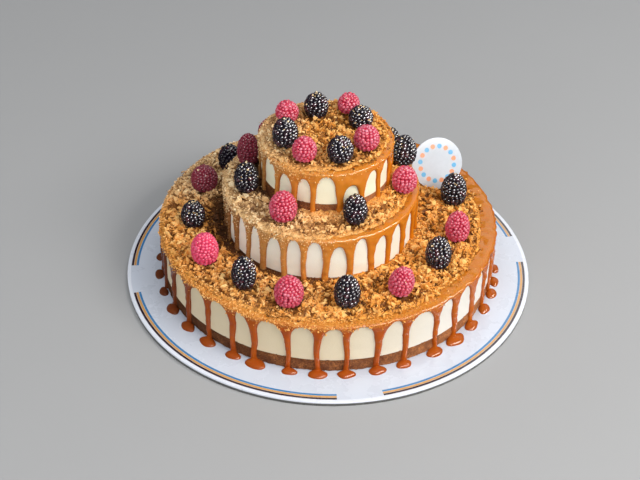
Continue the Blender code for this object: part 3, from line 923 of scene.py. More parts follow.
def caramel_finish(look):
    """Glossy caramel: paler on the thinner upper tiers, grainy where crumb dust has stuck to it. Painted
    shade darkens a drip's thin edges and the left-hand drips; painted light lightens the bottom tier's
    right-hand drips.
    """
    finish, tree, shader = new_material("Dripped caramel")
    names = ("upper", "thickness", "browned", "dusty", "rim", "crumbed")
    upper, thick, browned, dusty, rim, crumbed = (stored(tree, name) for name in names)
    swirl, _ = speckle(tree, 70.0, 0.3, 0.7)
    # The stored upper share also carries the painted light on the bottom tier's right-hand drips
    syrup = mix_colours(tree, weighted(tree, (upper, 0.8), (swirl, 0.2)), look.thick, look.thin)
    syrup = mix_colours(tree, product(tree, dusty, upper, 0.75), syrup, look.olive)
    # Painted shade: a drip's thin edges are darkened towards the edge colour
    at_edge = spread(tree, thick, 0.2 * MM, 1.7 * MM, 0.75, 0.0)
    syrup = mix_colours(tree, at_edge, syrup, look.edge)
    # Painted shade on the left-hand drips
    syrup = mix_colours(tree, browned, syrup, look.browned)
    syrup = mix_colours(tree, rim, syrup, look.rim)
    grains, relief = speckle(tree, 620.0, 0.44, 0.6)
    share = product(tree, crumbed, calculate(tree, "ADD", 0.15, product(tree, grains, 0.75)))
    colour_here = mix_colours(tree, share, syrup, look.grainy)
    colour_here = mix_colours(tree, product(tree, dusty, share, 0.8), colour_here, look.dust)
    rough = calculate(tree, "ADD", 0.22, product(tree, share, 0.6))
    coat = calculate(tree, "SUBTRACT", 0.7, product(tree, share, 0.9), clamp=True)
    wet = calculate(tree, "MAXIMUM", rim, upper)
    coat = product(tree, coat, spread(tree, wet, 0.0, 1.0, 0.4, 1.0))
    for source, socket in ((colour_here, "Base Color"), (rough, "Roughness"), (coat, "Coat Weight")):
        tree.links.new(source, shader.inputs[socket])
    set_values(shader, {"Coat Roughness": 0.07, "Coat IOR": 1.3, "Specular IOR Level": 0.06,
                        "Subsurface Weight": 0.15, "Subsurface Radius": (1.0, 0.35, 0.1),
                        "Subsurface Scale": 2.5 * MM})
    bump(tree, shader, product(tree, relief, crumbed), 1.3 * MM, 0.9)
    return finish


DUSTY = {
    # Where fine pale dust lies over a tier's crumbs and rim: azimuth and share
    "bottom": ((-180, 0.15), (-150, 0.12), (-120, 0.2), (-100, 0.12), (-80, 0.0), (60, 0.0),
               (100, 0.4), (130, 1.0), (155, 1.0), (168, 0.75), (176, 0.35), (180, 0.2)),
    "middle": ((-180, 1.0), (-140, 0.95), (-115, 0.75), (-95, 0.45), (-75, 0.28), (-50, 0.12),
               (-20, 0.0), (60, 0.0), (110, 0.5), (150, 1.0), (180, 1.0)),
    "top": ((-180, 1.0), (-150, 0.8), (-125, 0.4), (-100, 0.22), (-60, 0.12), (-20, 0.0), (60, 0.0),
            (110, 0.4), (150, 0.9), (180, 1.0)),
}
DRIP_PAINTED_SHADE = {
    # Painted shade on a tier's drips, darker on the shaded left: azimuth and share
    "bottom": ((-180, 0.95), (-158, 0.9), (-146, 0.65), (-136, 0.3), (-120, 0.1), (-105, 0.03),
               (-90, 0.0), (40, 0.0), (120, 0.5), (180, 0.95)),
    "middle": ((-180, 1.0), (-160, 0.9), (-145, 0.6), (-130, 0.25), (-115, 0.08), (-100, 0.0),
               (60, 0.0), (120, 0.5), (180, 1.0)),
    "top": ((-180, 0.55), (-155, 0.4), (-130, 0.1), (-110, 0.0), (60, 0.0), (120, 0.4), (180, 0.55)),
}
# Painted light on the bottom tier's drips on the lit right side, taking them towards the upper tiers'
# lighter colour: azimuth and share
DRIP_PAINTED_LIGHT = ((-180, 0.0), (-78, 0.0), (-58, 0.1), (-38, 0.28), (15, 0.32), (60, 0.1), (90, 0.0), (180, 0.0))
CRUMBED_RIM = {
    # Where the crumb dust reaches over the caramel's edge: azimuth and share, 0 smooth to 1 coated
    "bottom": ((-180, 1.0), (-135, 0.95), (-90, 0.8), (-60, 0.45), (-35, 0.15), (0, 0.03),
               (60, 0.1), (120, 0.7), (180, 1.0)),
    "middle": ((-180, 1.0), (-140, 1.0), (-110, 0.8), (-92, 0.55), (-78, 0.3), (-60, 0.1),
               (-30, 0.05), (30, 0.05), (100, 0.4), (150, 0.9), (180, 1.0)),
    "top": ((-180, 1.0), (-140, 0.95), (-110, 0.75), (-94, 0.5), (-80, 0.28), (-40, 0.15), (0, 0.25),
            (60, 0.3), (120, 0.7), (180, 1.0)),
}


def crumbed_share(tier, x, y):
    """How far crumb dust covers the caramel in a tier's direction, from 0 to 1."""
    return by_azimuth(CRUMBED_RIM[tier.name], tier.azimuth(x, y))


def dusty_share(tier, x, y):
    """How far pale dust covers a place on a tier, from 0 in its middle to the table's value."""
    outwards = np.clip((tier.far(x, y) / tier.wall - 0.25) / 0.5, 0, 1)
    return outwards * by_azimuth(DUSTY[tier.name], tier.azimuth(x, y))


class MakeCaramel(bpy.types.Operator):
    """Each tier's caramel: sheet, rounded rim, drips and the pools on the board"""

    bl_idname = "cheesecake.caramel"
    bl_label = "Caramel"

    def execute(self, context):
        look, layers = context.scene.cheesecake_caramel, context.scene.cheesecake_layers
        finish = caramel_finish(look)
        for tier in TIERS:
            points, quads, thick = keep_used(*caramel_skin(tier, look, layers))
            mesh = build_mesh(f"{tier.name}_tier_caramel", points, quads)
            self.add_dressing(mesh, tier, points, thick)
            place(f"{tier.name}_tier_caramel", mesh, finish, "caramel", f"{tier.name}_caramel")
        self.make_pools(BOTTOM, finish)
        return {"FINISHED"}

    def add_dressing(self, mesh, tier, points, thick):
        """Keeps how thick, dusty and crumbed the caramel is at each point, and its painted shade and painted
        light.
        """
        x, y, z = points.T
        turn = tier.azimuth(x, y)
        upper = float(tier is not BOTTOM)
        dusty = dusty_share(tier, x, y)
        # Crumb dust fades out from 2 to 6 mm below the top, and the rim's colour from 0.4 to 2 mm
        high = np.clip((z - (tier.top - 6 * MM)) / (4 * MM), 0, 1)
        add_values(
            mesh, thickness=thick, dusty=dusty, browned=by_azimuth(DRIP_PAINTED_SHADE[tier.name], turn),
            # Painted light on the bottom tier's right-hand drips
            upper=np.maximum(upper, by_azimuth(DRIP_PAINTED_LIGHT, turn)),
            crumbed=np.maximum(high * crumbed_share(tier, x, y), 0.25 * upper * dusty),
            rim=np.clip((z - (tier.top - 2 * MM)) / (1.6 * MM), 0, 1))

    def make_pools(self, tier, finish):
        rng = np.random.default_rng(5)
        points, quads, thick, count = [], [], [], 0
        for k, (azimuth, _, width, _) in enumerate(tier.drips()):
            pool_turn = POOL_TURNS[k] if k < len(POOL_TURNS) else 0
            dome, faces, depth = pool_dome(tier, azimuth, pool_turn, width * MM, rng)
            points.append(dome)
            quads.append(faces + count)
            thick.append(depth)
            count += len(dome)
        points = np.concatenate(points)
        mesh = build_mesh("caramel_pools", points, np.concatenate(quads))
        self.add_dressing(mesh, tier, points, np.concatenate(thick))
        place("caramel_pools", mesh, finish, "caramel")


# Crumbs


CRUMB_REACH = {
    # How far inside a tier's wall the crumbs stop: azimuth and millimetres
    "bottom": ((-180, -0.5), (-150, 0.5), (-120, 2.5), (-90, 4.5), (-60, 6.0), (-30, 9.0),
               (0, 11.0), (60, 9.5), (120, 4.0), (180, -0.5)),
    "middle": ((-180, -1.5), (-140, -1.5), (-110, -0.5), (-90, 0.5), (-70, 2.0), (-45, 4.0),
               (0, 4.5), (40, 4.5), (90, 3.5), (140, 0.5), (180, -1.5)),
    "top": ((-180, -1.5), (-140, -1.0), (-115, 0.0), (-95, 1.0), (-75, 2.0), (-30, 2.5), (30, 2.0),
            (100, 1.5), (150, 0.0), (180, -1.5)),
}
BANKED = {
    # Where a tier's crumbs bank up against the tier above, or are less than 0 and leave a gap
    "bottom": ((-180, -1.0), (-135, -1.0), (-105, -0.6), (-85, -0.1), (-65, 0.4), (-35, 0.8),
               (10, 0.7), (60, 0.2), (110, -0.5), (180, -1.0)),
    "middle": ((-180, -1.0), (-150, -0.8), (-125, 0.0), (-105, 0.8), (-60, 1.0), (0, 0.9),
               (60, 0.4), (110, -0.3), (180, -1.0)),
}
CRUMB_PAINTED_SHADE = (
    # Painted shade on the crumbs beside the foot of the tier above, where its shadow falls: azimuth and
    # share
    (-180, 0.85), (-160, 0.7), (-145, 0.45), (-125, 0.25), (-105, 0.05), (-90, 0.0), (60, 0.0),
    (100, 0.4), (140, 0.85), (180, 0.85),
)
CRUMB_TONE = {"bottom": 0.0, "middle": 0.15, "top": 0.14}  # how much paler a tier's crumbs are
FLAKE_SHARE = {"bottom": 1.0, "middle": 0.85, "top": 0.75}  # the size of a tier's flakes


def crumb_reach(tier, azimuth):
    """The radius that a tier's crumbs reach out to, azimuth in radians."""
    ragged = waves(tier.seed + 20, 7 * MM, 30 * MM)
    inset = by_azimuth(CRUMB_REACH[tier.name], azimuth) * MM
    return tier.wall - inset + 0.7 * MM * ragged(azimuth * tier.wall, 0)


def inside_crumbs(tier, x, y):
    """How far a place is inside the edge of a tier's crumbs."""
    return crumb_reach(tier, tier.azimuth(x, y)) - tier.far(x, y)


def seat_places(tier):
    """Where a berry of a tier, or the tag, stands: (x, y, radius) each."""
    found = []
    for name in BERRIES:
        low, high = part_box(name)
        if tier.top - 1 * MM < low.z < tier.top + 6 * MM:
            found.append(((low.x + high.x) / 2, (low.y + high.y) / 2, (high.x - low.x) / 2))
    if tier is BOTTOM:
        low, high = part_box("tag")
        spots = np.linspace(low.x + 14 * MM, high.x - 14 * MM, 6)
        found += [(x, low.y + 2 * MM, 3 * MM) for x in spots]
    return found


def off_seats(seats, share, x, y):
    """How far a place is from the nearest seat, each taken as a share of its radius."""
    return np.min([np.hypot(x - seat_x, y - seat_y) - share * radius
                   for seat_x, seat_y, radius in seats], axis=0)


class CrumbPile:
    """The crumbs on one tier: how high they lie, and how far up in them a point is."""

    def __init__(self, tier, look, caramel):
        self.tier, self.look, self.caramel = tier, look, caramel
        self.seats = seat_places(tier)
        self.lumps = waves(tier.seed + 30, 3.5 * MM, 16 * MM, 40)
        self.heaps = waves(tier.seed + 33, 18 * MM, 50 * MM)
        inner = tier.above.wall if tier.above else 0
        self.area_cm2 = math.pi * ((tier.wall - 5 * MM) ** 2 - inner ** 2) * CM2

    def inside(self, x, y):
        """0 at the crumbs' edge to 1 where the bed has its full depth."""
        return np.clip(inside_crumbs(self.tier, x, y) / (11 * MM), 0, 1)

    def banked(self, x, y):
        """-1 where the crumbs leave a gap at the foot of the tier above, to 1 where they bank up."""
        above = self.tier.above
        if not above:
            return 0.0
        near = 1 - np.clip((above.far(x, y) - above.wall - 2.5 * MM) / (7 * MM), 0, 1)
        return near * by_azimuth(BANKED[self.tier.name], above.azimuth(x, y))

    def rim_drop(self, x, y):
        """How far the caramel's rounded rim lies below the tier's top."""
        inset = self.caramel.inset
        over = (self.tier.far(x, y) - (self.tier.wall - inset)) / (inset + self.caramel.thickness)
        return self.caramel.shoulder * (1 - np.sqrt(1 - np.clip(over, 0, 0.98) ** 2))

    def height(self, x, y):
        """The height of the bed's surface."""
        look, inside = self.look, self.inside(x, y)
        rise = inside ** 0.6
        bed = look.depth * (0.25 + 0.75 * rise) + 0.5 * MM * self.heaps(x, y) * rise
        bed = bed + look.relief * (0.4 + 0.6 * rise) * 0.6 * self.lumps(x, y)
        pressed = np.clip(off_seats(self.seats, 0.75, x, y) / (4 * MM), 0, 1)
        bed = np.maximum(bed * (0.4 + 0.6 * pressed), 0.15 * MM) * np.clip(inside * 12, 0.02, 1)
        bank = self.banked(x, y)
        bed = bed * (1 + 0.85 * np.minimum(bank, 0)) + look.bank * pressed * np.maximum(bank, 0)
        return self.tier.top + bed - self.rim_drop(x, y)

    def lift(self, x, y, z):
        """How far up in the pile a point is, from 0 to 1."""
        thick = self.look.depth * (0.25 + 0.75 * self.inside(x, y) ** 0.6)
        over = z - self.tier.top + self.rim_drop(x, y)
        return np.clip((over - 0.45 * thick) / (1.3 * thick + 0.7 * MM), 0, 1)


def tone_with_painted_shade(tier, x, y, tone):
    """A crumb's tone, taken below 0 by painted shade beside the foot of the tier above."""
    above = tier.above
    if not above:
        return tone
    share = by_azimuth(CRUMB_PAINTED_SHADE, above.azimuth(x, y))
    near = 1.25 * (1 - (above.far(x, y) - above.wall - 2 * MM) / ((4 + 20 * share) * MM))
    painted_foot_shade = np.clip(near, 0, 1) * share
    return tone * (1 - painted_foot_shade) - painted_foot_shade


def crumb_finish(look):
    """Crushed golden biscuit: each piece has its own tone, below 0 where painted shade darkens it beside the
    foot of the tier above.
    """
    finish, tree, shader = new_material("Golden crumbs")
    tone, lift, dusty = (stored(tree, name) for name in ("tone", "lift", "dusty"))
    fine, relief = speckle(tree, 1100.0, 0.35, 0.65)
    broad, _ = speckle(tree, 95.0, 0.3, 0.7)
    # The higher a point lies in the pile, the paler: painted shade on the low ones
    moved = weighted(tree, (tone, 0.7), (lift, 0.4), (calculate(tree, "SUBTRACT", fine, 0.5), 0.3),
                     (calculate(tree, "SUBTRACT", broad, 0.5), 0.16))
    low, high = spread(tree, moved, 0.1, 0.5), spread(tree, moved, 0.5, 1.0)
    clean = mix_colours(tree, high, mix_colours(tree, low, look.dark, look.golden), look.pale)
    dull = mix_colours(tree, high, mix_colours(tree, low, look.dusty_dark, look.dusty), look.dusty_pale)
    colour_here = mix_colours(tree, product(tree, dusty, 0.85), clean, dull)
    # Painted shade: the crumbs low in the pile, in the hollows between them, are darkened
    painted_hollow_shade = product(tree, spread(tree, lift, 0.0, 0.45, 0.85, 0.0), spread(tree, dusty, 0, 1, 1.0, 0.65))
    colour_here = mix_colours(tree, painted_hollow_shade, colour_here, look.dark)
    # Painted shade where the tone is below 0
    colour_here = mix_colours(tree, spread(tree, tone, -1.0, 0.0, 0.9, 0.0), colour_here, look.painted_foot_shade)
    paint(tree, shader, colour_here, relief, 0.45, 0.8)
    set_values(shader, {"Specular IOR Level": 0.06})
    bump(tree, shader, relief, 0.3 * MM, 0.7)
    return finish


def turns_about(axis, angles):
    """Rotation matrices about X, Y or Z, axis 0, 1 or 2, for an array of angles."""
    found = np.tile(np.eye(3), (len(angles), 1, 1))
    a, b = (axis + 1) % 3, (axis + 2) % 3
    found[:, a, a] = found[:, b, b] = np.cos(angles)
    found[:, b, a], found[:, a, b] = np.sin(angles), -np.sin(angles)
    return found


def random_turns(rng, count, tilt):
    """Rotation matrices of a random heading and a random tilt, whose spread is given in degrees."""
    heading = rng.uniform(0, 2 * math.pi, count)
    lean = np.radians(np.clip(rng.normal(0, tilt, count), -75, 75))
    axis = rng.uniform(0, 2 * math.pi, count)
    return turns_about(2, axis) @ turns_about(0, lean) @ turns_about(2, heading - axis)


FLAKE_SIDES = 5


def flake_faces():
    """The triangles of a plate: points 0-4 round its top, 5-9 round its underside."""
    n = FLAKE_SIDES
    faces = []
    for k in range(1, n - 1):
        faces += [(0, k, k + 1), (n, n + k + 1, n + k)]
    for k in range(n):
        after = (k + 1) % n
        faces += [(k, n + k, n + after), (k, n + after, after)]
    return np.array(faces)


def flake_points(rng, width):
    """Bent, uneven plates and chunks, one for each width, about their own middles."""
    count, n = len(width), FLAKE_SIDES
    turn = all_round(n) + rng.uniform(-0.5, 0.5, (count, n))
    reach = rng.uniform(0.45, 1.25, (count, n)) * width[:, None] / 2
    narrow = rng.uniform(0.32, 0.85, count)[:, None]
    chunky = rng.random(count) < 0.3
    thick = np.where(chunky, rng.uniform(0.35, 0.65, count), rng.uniform(0.1, 0.22, count)) * width
    x, y = reach * np.cos(turn), narrow * reach * np.sin(turn)
    bend = rng.uniform(-0.35, 0.35, count)[:, None] * x * x / width[:, None] * 2
    jitter = 0.15 * width[:, None] * rng.normal(0, 1, (count, n))
    top = np.stack([x, y, bend + thick[:, None] / 2 + jitter * 0.7], axis=-1)
    shrink = rng.uniform(0.7, 1.1, (count, n))
    under = np.stack([x * shrink, y * shrink, bend - thick[:, None] / 2 + jitter * 0.4], axis=-1)
    return np.concatenate([top, under], axis=1)


FLAKE_FACES = flake_faces()
GRAIN_FACES = np.array([(0, 1, 2), (0, 2, 3), (0, 3, 4), (0, 4, 1),
                        (5, 2, 1), (5, 3, 2), (5, 4, 3), (5, 1, 4)])


def grain_points(rng, width):
    """Loose grains of eight uneven faces, one for each width, about their own middles."""
    corners = np.array([(0, 0, 1), (1, 0, 0), (0, 1, 0), (-1, 0, 0), (0, -1, 0), (0, 0, -1)], float)
    reach = rng.uniform(0.6, 1.2, (len(width), 6, 1)) * width[:, None, None] / 2
    return corners[None] * reach + rng.normal(0, 0.07, (len(width), 6, 3)) * width[:, None, None]


def scatter(name, finish, shapes, faces, centres, turns, tones, dusty, lift=None):
    """Makes a piece of many small shapes, each turned and moved to its place, with its own tone and dust.

    lift(x, y, z) gives how far up in the pile a point is; without it, all are on top.
    """
    count, corners = shapes.shape[:2]
    points = (np.einsum("nij,nkj->nki", turns, shapes) + centres[:, None]).reshape(-1, 3)
    every = faces[None] + (np.arange(count) * corners)[:, None, None]
    mesh = build_mesh(name, points, every.reshape(-1, 3), smooth=False)
    up = lift(*points.T) if lift else np.full(len(points), 0.7)
    add_values(mesh, tone=np.repeat(tones, corners), dusty=np.repeat(dusty, corners), lift=up)
    place(name, mesh, finish, "crumbs")


def spots_on_tier(rng, tier, count):
    """Evenly random places on the part of a tier's top that its crumbs cover, and how far inside."""
    found = []
    total = 0
    above, outer = tier.above, 2.5 * MM  # how far outside the edge a few crumbs lie
    while total < count:
        x = rng.uniform(-tier.wall, tier.wall, count) + tier.centre[0]
        y = rng.uniform(-tier.wall, tier.wall, count) + tier.centre[1]
        inside = inside_crumbs(tier, x, y)
        fewer = np.clip((inside + outer) / (4 * MM), 0.2, 1)
        fewer = np.maximum(fewer, 0.9 * dusty_share(tier, x, y))
        kept = (inside > -outer) & (rng.random(count) < fewer)
        if above:
            kept &= above.far(x, y) > above.wall + 0.2 * MM
        found.append(np.stack([x, y, inside], axis=-1)[kept])
        total += kept.sum()
    return np.concatenate(found)[:count]


class MakeCrumbs(bpy.types.Operator):
    """The crumbs on each tier: a rough bed, flakes lying on it at all angles, and loose grains"""

    bl_idname = "cheesecake.crumbs"
    bl_label = "Crumbs"

    def execute(self, context):
        look = context.scene.cheesecake_crumbs
        finish = crumb_finish(look)
        for tier in TIERS:
            pile = CrumbPile(tier, look, context.scene.cheesecake_caramel)
            self.make_bed(pile, finish)
            self.make_flakes(pile, finish)
            self.make_grains(pile, finish)
        return {"FINISHED"}

    def make_bed(self, pile, finish):
        tier, cell = pile.tier, pile.look.bed_cell
        above = tier.above
        rng = np.random.default_rng(tier.seed + 12)
        azimuth = all_round(round(2 * math.pi * (tier.wall - 6 * MM) / cell))
        outer = tier.at(crumb_reach(tier, azimuth), azimuth)
        inner = above.at(above.wall - 1 * MM, azimuth) if above else tier.at(0, azimuth)
        reach = np.hypot(*(outer - inner))
        rows = round(reach.max() / cell) + 1
        share = np.linspace(0, 1, rows)[:, None]
        x, y = outer[:, None] + share * (inner - outer)[:, None]
        stray = np.minimum(0.3 * cell, 0.3 * tier.far(x, y)) * (share > 0) * (share < 1)
        x = x + stray * rng.normal(0, 0.6, x.shape)
        y = y + stray * rng.normal(0, 0.6, y.shape)
        z = pile.height(x, y) + 0.25 * MM * rng.normal(0, 1, x.shape) * (share > 0)
        points = np.stack([x, y, z], axis=-1)
        if not above:
            points[-1] = points[-1].mean(0)
        name = f"{tier.name}_crumb_bed"
        mesh = build_mesh(name, points.reshape(-1, 3), ring_grid(rows, len(azimuth)), smooth=False)
        tone = np.clip(rng.normal(0.25 + CRUMB_TONE[tier.name], 0.22, x.shape), 0, 1)
        # Painted shade in its hollows, but golden as the caramel at its edge
        at_edge = 0.6 * np.clip(1.3 - share * reach / (4 * MM), 0, 1)
        lift = np.maximum(0.45 * pile.lift(*np.moveaxis(points, -1, 0)), at_edge)
        add_values(mesh, tone=tone_with_painted_shade(tier, x, y, tone), dusty=dusty_share(tier, x, y), lift=lift)
        place(name, mesh, finish, "crumbs", f"{tier.name}_crumbs")

    def make_flakes(self, pile, finish):
        tier, look = pile.tier, pile.look
        above = tier.above
        rng = np.random.default_rng(tier.seed + 52)
        spots = spots_on_tier(rng, tier, int(pile.area_cm2 * look.flakes_per_cm2))
        count = len(spots)
        # Most of the flakes lie heaped in clumps
        clumps = spots_on_tier(rng, tier, int(pile.area_cm2 * look.flakes_per_cm2 / 11))
        joins = rng.integers(0, len(clumps), count)
        off = rng.normal(0, 1.7 * MM, (count, 2))
        clumped = rng.random(count) < 0.75
        spots[clumped] = clumps[joins[clumped]]
        spots[clumped, :2] += off[clumped]
        tall = rng.uniform(0.1, 1.0, len(clumps)) * look.clump
        raised = np.where(clumped, tall[joins] * np.exp(-(off ** 2).sum(-1) / (2.4 * MM) ** 2), 0)

        # Flakes are smaller and lie lower at the crumbs' edge and beside the tier above
        x, y, inside = spots.T
        far = above.far(x, y) - above.wall if above else np.full(count, 1.0)
        open_ground = np.clip((far - 2 * MM) / (6 * MM), 0, 1)
        off_edge = np.minimum(np.clip(inside / (9 * MM), 0, 1), open_ground)
        width = look.flake * FLAKE_SHARE[tier.name] * np.exp(rng.normal(0, 0.38, count))
        width = np.clip(width * (0.5 + 0.5 * off_edge), 1.2 * MM, 6 * MM)
        z = pile.height(x, y) + raised * open_ground * off_edge
        z = z + rng.uniform(0.0, 1.0, count) * 0.3 * width * (0.4 + 0.6 * off_edge)
        away = off_seats(pile.seats, 0.55, x, y)
        if above:
            away = np.minimum(away, far - (0.5 + 4 * rng.random(count)) * MM)
        x, y, z, width = np.stack([x, y, z, width])[:, away > 0]
        turns = random_turns(rng, len(width), 42)
        tones = np.clip(rng.normal(0.48 + CRUMB_TONE[tier.name], 0.32, len(width)), 0, 1)
        scatter(f"{tier.name}_crumb_flakes", finish, flake_points(rng, width), FLAKE_FACES,
                np.stack([x, y, z], axis=-1), turns, tone_with_painted_shade(tier, x, y, tones),
                dusty_share(tier, x, y), pile.lift)

    def make_grains(self, pile, finish):
        tier, look = pile.tier, pile.look
        rng = np.random.default_rng(tier.seed + 82)
        spots = spots_on_tier(rng, tier, int(pile.area_cm2 * look.grains_per_cm2))
        count = len(spots)
        x, y, inside = spots.T
        width = np.clip(look.grain * np.exp(rng.normal(0, 0.35, count)), 0.4 * MM, 2 * MM)
        over = rng.uniform(0.1, 1.6, count) * MM * (0.2 + 0.8 * np.clip(inside / (6 * MM), 0, 1))
        centres = np.stack([x, y, pile.height(x, y) + over], axis=-1)
        tones = np.clip(rng.normal(0.62, 0.2, count), 0, 1)
        scatter(f"{tier.name}_crumb_grains", finish, grain_points(rng, width), GRAIN_FACES, centres,
                random_turns(rng, count, 60), tones, dusty_share(tier, x, y), pile.lift)


# Berries


BERRY_OUTLINE = (
    # A berry's radius as a share of its widest, from the blunt base to the tip
    (0.0, 0.35), (0.03, 0.62), (0.12, 0.85), (0.24, 0.95), (0.45, 1.0), (0.62, 0.93),
    (0.76, 0.79), (0.88, 0.58), (0.96, 0.34), (1.0, 0.0),
)
# The core under the beads: shares of the berry's height and of its radius, before the beads' own depth
BERRY_CORE = ((0.0, 0.3), (0.06, 0.6), (0.3, 0.9), (0.5, 0.93), (0.75, 0.75), (0.92, 0.4), (0.97, 0.02))


def berry_stance(node):
    """Where a berry stands: its base, its axis as a rotation matrix, its height and its radius."""
    corners = flat_corners(node)
    tip = corners[corners[:, 2].argmax()]
    axis = tip - corners.mean(0)
    axis /= np.linalg.norm(axis)
    along = corners @ axis
    height = along.max() - along.min()
    radius = np.linalg.norm(np.cross(corners - tip, axis), axis=1).max()
    turn = Vector(axis).to_track_quat("Z", "Y").to_matrix()
    return tip - axis * height, np.array(turn), height, radius


BEAD_SIDES = 7
BEAD_RINGS = (32, 62, 95)  # degrees from a bead's crown
# How near each of a bead's points is to its crown
CROWN = np.repeat((1.0, 0.75, 0.3, 0.0), (1, BEAD_SIDES, BEAD_SIDES, BEAD_SIDES))


def bead_shape():
    """A little dome of 35 triangles, pointing along +Z, its radius 1."""
    n = BEAD_SIDES
    points = [[(0, 0, 1)]]
    for polar, half_steps in zip(np.radians(BEAD_RINGS), (0, 1, 0)):
        turn = all_round(n) + half_steps * math.pi / n
        points.append(about_axis(math.sin(polar), turn, math.cos(polar)))
    faces = [(0, 1 + k, 1 + (k + 1) % n) for k in range(n)]
    for k in range(n):
        after = (k + 1) % n
        high, middle, low = 1, 1 + n, 1 + 2 * n
        faces += [(high + k, middle + k, high + after), (middle + k, middle + after, high + after),
                  (middle + k, low + k, low + after), (middle + k, low + after, middle + after)]
    return np.concatenate(points), np.array(faces)


def berry_mesh(height, radius, pitch, rng):
    """A berry on its base at the origin: rows of beads round an ovoid core."""
    up, share = np.array(BERRY_OUTLINE).T
    fine = np.linspace(0, 1, 200)
    outline = np.interp(fine, up, share) * radius
    length = np.concatenate([[0], np.cumsum(np.hypot(np.diff(fine * height), np.diff(outline)))])
    rows = round(length[-1] * 0.97 / (0.86 * pitch))  # closer than the beads in a row
    bead, bead_faces = bead_shape()
    points, faces, tones, crowns, total = [], [], [], [], 0

    def on_outline(at):
        """Distance out and up, at a length along the outline."""
        return np.interp(at, length, outline), np.interp(at, length, fine) * height

    for row in range(rows + 1):
        at = length[-1] * (0.05 + 0.95 * row / rows)
        here_out, here_up = on_outline(at)
        ahead_out, ahead_up = on_outline(at + 0.4 * MM)
        back_out, back_up = on_outline(at - 0.4 * MM)
        # A bead stands square on the outline: the slope is 90 degrees on a straight side, 0 at the tip
        slope = math.atan2(ahead_up - back_up, back_out - ahead_out) if row < rows else 0.0
        lean = math.pi / 2 - slope
        beads = max(1, round(2 * math.pi * max(here_out - 0.3 * pitch, 0) / pitch))
        first = rng.uniform(0, 2 * math.pi)
        for k in range(beads):
            turn = first + 2 * math.pi * (k + rng.uniform(-0.16, 0.16)) / beads
            out = about_axis(math.cos(lean), turn, math.sin(lean))
            side = np.array([-math.sin(turn), math.cos(turn), 0.0])
            over = np.cross(out, side)
            reach = pitch * rng.uniform(0.5, 0.64)
            stray = rng.uniform(-0.12, 0.12) * pitch
            middle = about_axis(here_out, turn, here_up + stray) - out * (reach * 0.98)
            if beads == 1:
                middle[:2] = rng.uniform(-0.1, 0.1, 2) * pitch
            scale = np.array([rng.uniform(0.94, 1.04), rng.uniform(0.94, 1.04), 1.0])
            shape = bead * scale * reach
            points.append(middle + shape[:, :1] * side + shape[:, 1:2] * -over + shape[:, 2:] * out)
            faces.append(bead_faces + total)
            total += len(bead)
            tones.append(np.full(len(bead), rng.random()))
            crowns.append(CROWN)

    columns = 14
    core = [about_axis(max(wide * radius - 0.42 * pitch, 0.02 * MM), all_round(columns), level * height)
            for level, wide in BERRY_CORE]
    core.insert(0, core[0] * (0.01, 0.01, 1))
    quads = ring_grid(len(core), columns)
    faces.append(np.concatenate([quads[:, [0, 1, 2]], quads[:, [0, 2, 3]]]) + total)
    tones.append(np.full(len(core) * columns, 0.2))
    crowns.append(np.zeros(len(core) * columns))
    points = np.concatenate([*points, *core])
    # Nothing stands out above or below the berry's own height
    points[:, 2] = np.clip(points[:, 2], 0.0, height)
    return points, np.concatenate(faces), np.concatenate(tones), np.concatenate(crowns)


def raspberry_finish(look):
    """Soft red flesh under a pale bloom that is thickest on the beads' crowns, with painted shade on the
    berries in shade and painted light on the brightest one.
    """
    finish, tree, shader = new_material("Raspberry")
    tone, crown, ripe = (stored(tree, name) for name in ("tone", "crown", "ripe"))
    bloom, relief = speckle(tree, 420.0, 0.42, 0.68)
    patches, _ = speckle(tree, 80.0, 0.35, 0.7)
    frost = product(tree, weighted(tree, (bloom, 0.6), (tone, 0.4)),
                    spread(tree, crown, 0.2, 1.0, 0.1, 1.0), spread(tree, patches, 0, 1, 0.45, 0.95))
    colour_here = mix_colours(tree, frost, look.red, look.red_bloom)
    colour_here = mix_colours(tree, spread(tree, ripe, 0, 1, 0, 0.85), colour_here, look.ripe)
    colour_here = mix_colours(tree, spread(tree, ripe, -1, 0, 0.6, 0), colour_here, look.painted_berry_light)
    paint(tree, shader, colour_here, relief, 0.3, 0.55)
    set_values(shader, {"Subsurface Weight": 0.25, "Subsurface Radius": (1.0, 0.15, 0.1),
                        "Subsurface Scale": 2.0 * MM, "Sheen Weight": 0.15, "Sheen Roughness": 0.4,
                        "Specular IOR Level": 0.2, "Coat Weight": 0.1, "Coat Roughness": 0.3})
    bump(tree, shader, relief, 0.15 * MM, 0.6)
    return finish


def dark_berry_finish(look):
    """Glossy near-black flesh, some beads reddish and some with a painted highlight on their crowns."""
    finish, tree, shader = new_material("Dark berry")
    tone, crown, ripe = (stored(tree, name) for name in ("tone", "crown", "ripe"))
    _, relief = speckle(tree, 500.0, 0.4, 0.7)
    colour_here = mix_colours(tree, spread(tree, tone, 0.72, 1.0, 0.0, 0.8), look.dark, look.dark_red)
    painted_crown_highlight = product(tree, spread(tree, crown, 0.75, 1.0, 0.0, 0.4), spread(tree, tone, 0.0, 0.8, 0.3, 1.0))
    colour_here = mix_colours(tree, painted_crown_highlight, colour_here, look.dark_bloom)
    paint(tree, shader, colour_here, relief, 0.3, 0.42)
    # Dark berries in painted shade lose their gloss
    shine = product(tree, spread(tree, tone, 0.0, 0.8, 0.25, 1.0), calculate(tree, "SUBTRACT", 1.0, ripe))
    tree.links.new(shine, shader.inputs["Coat Weight"])
    set_values(shader, {"Coat Roughness": 0.1, "Coat IOR": 1.5, "Specular IOR Level": 0.15})
    bump(tree, shader, relief, 0.08 * MM, 0.4)
    return finish


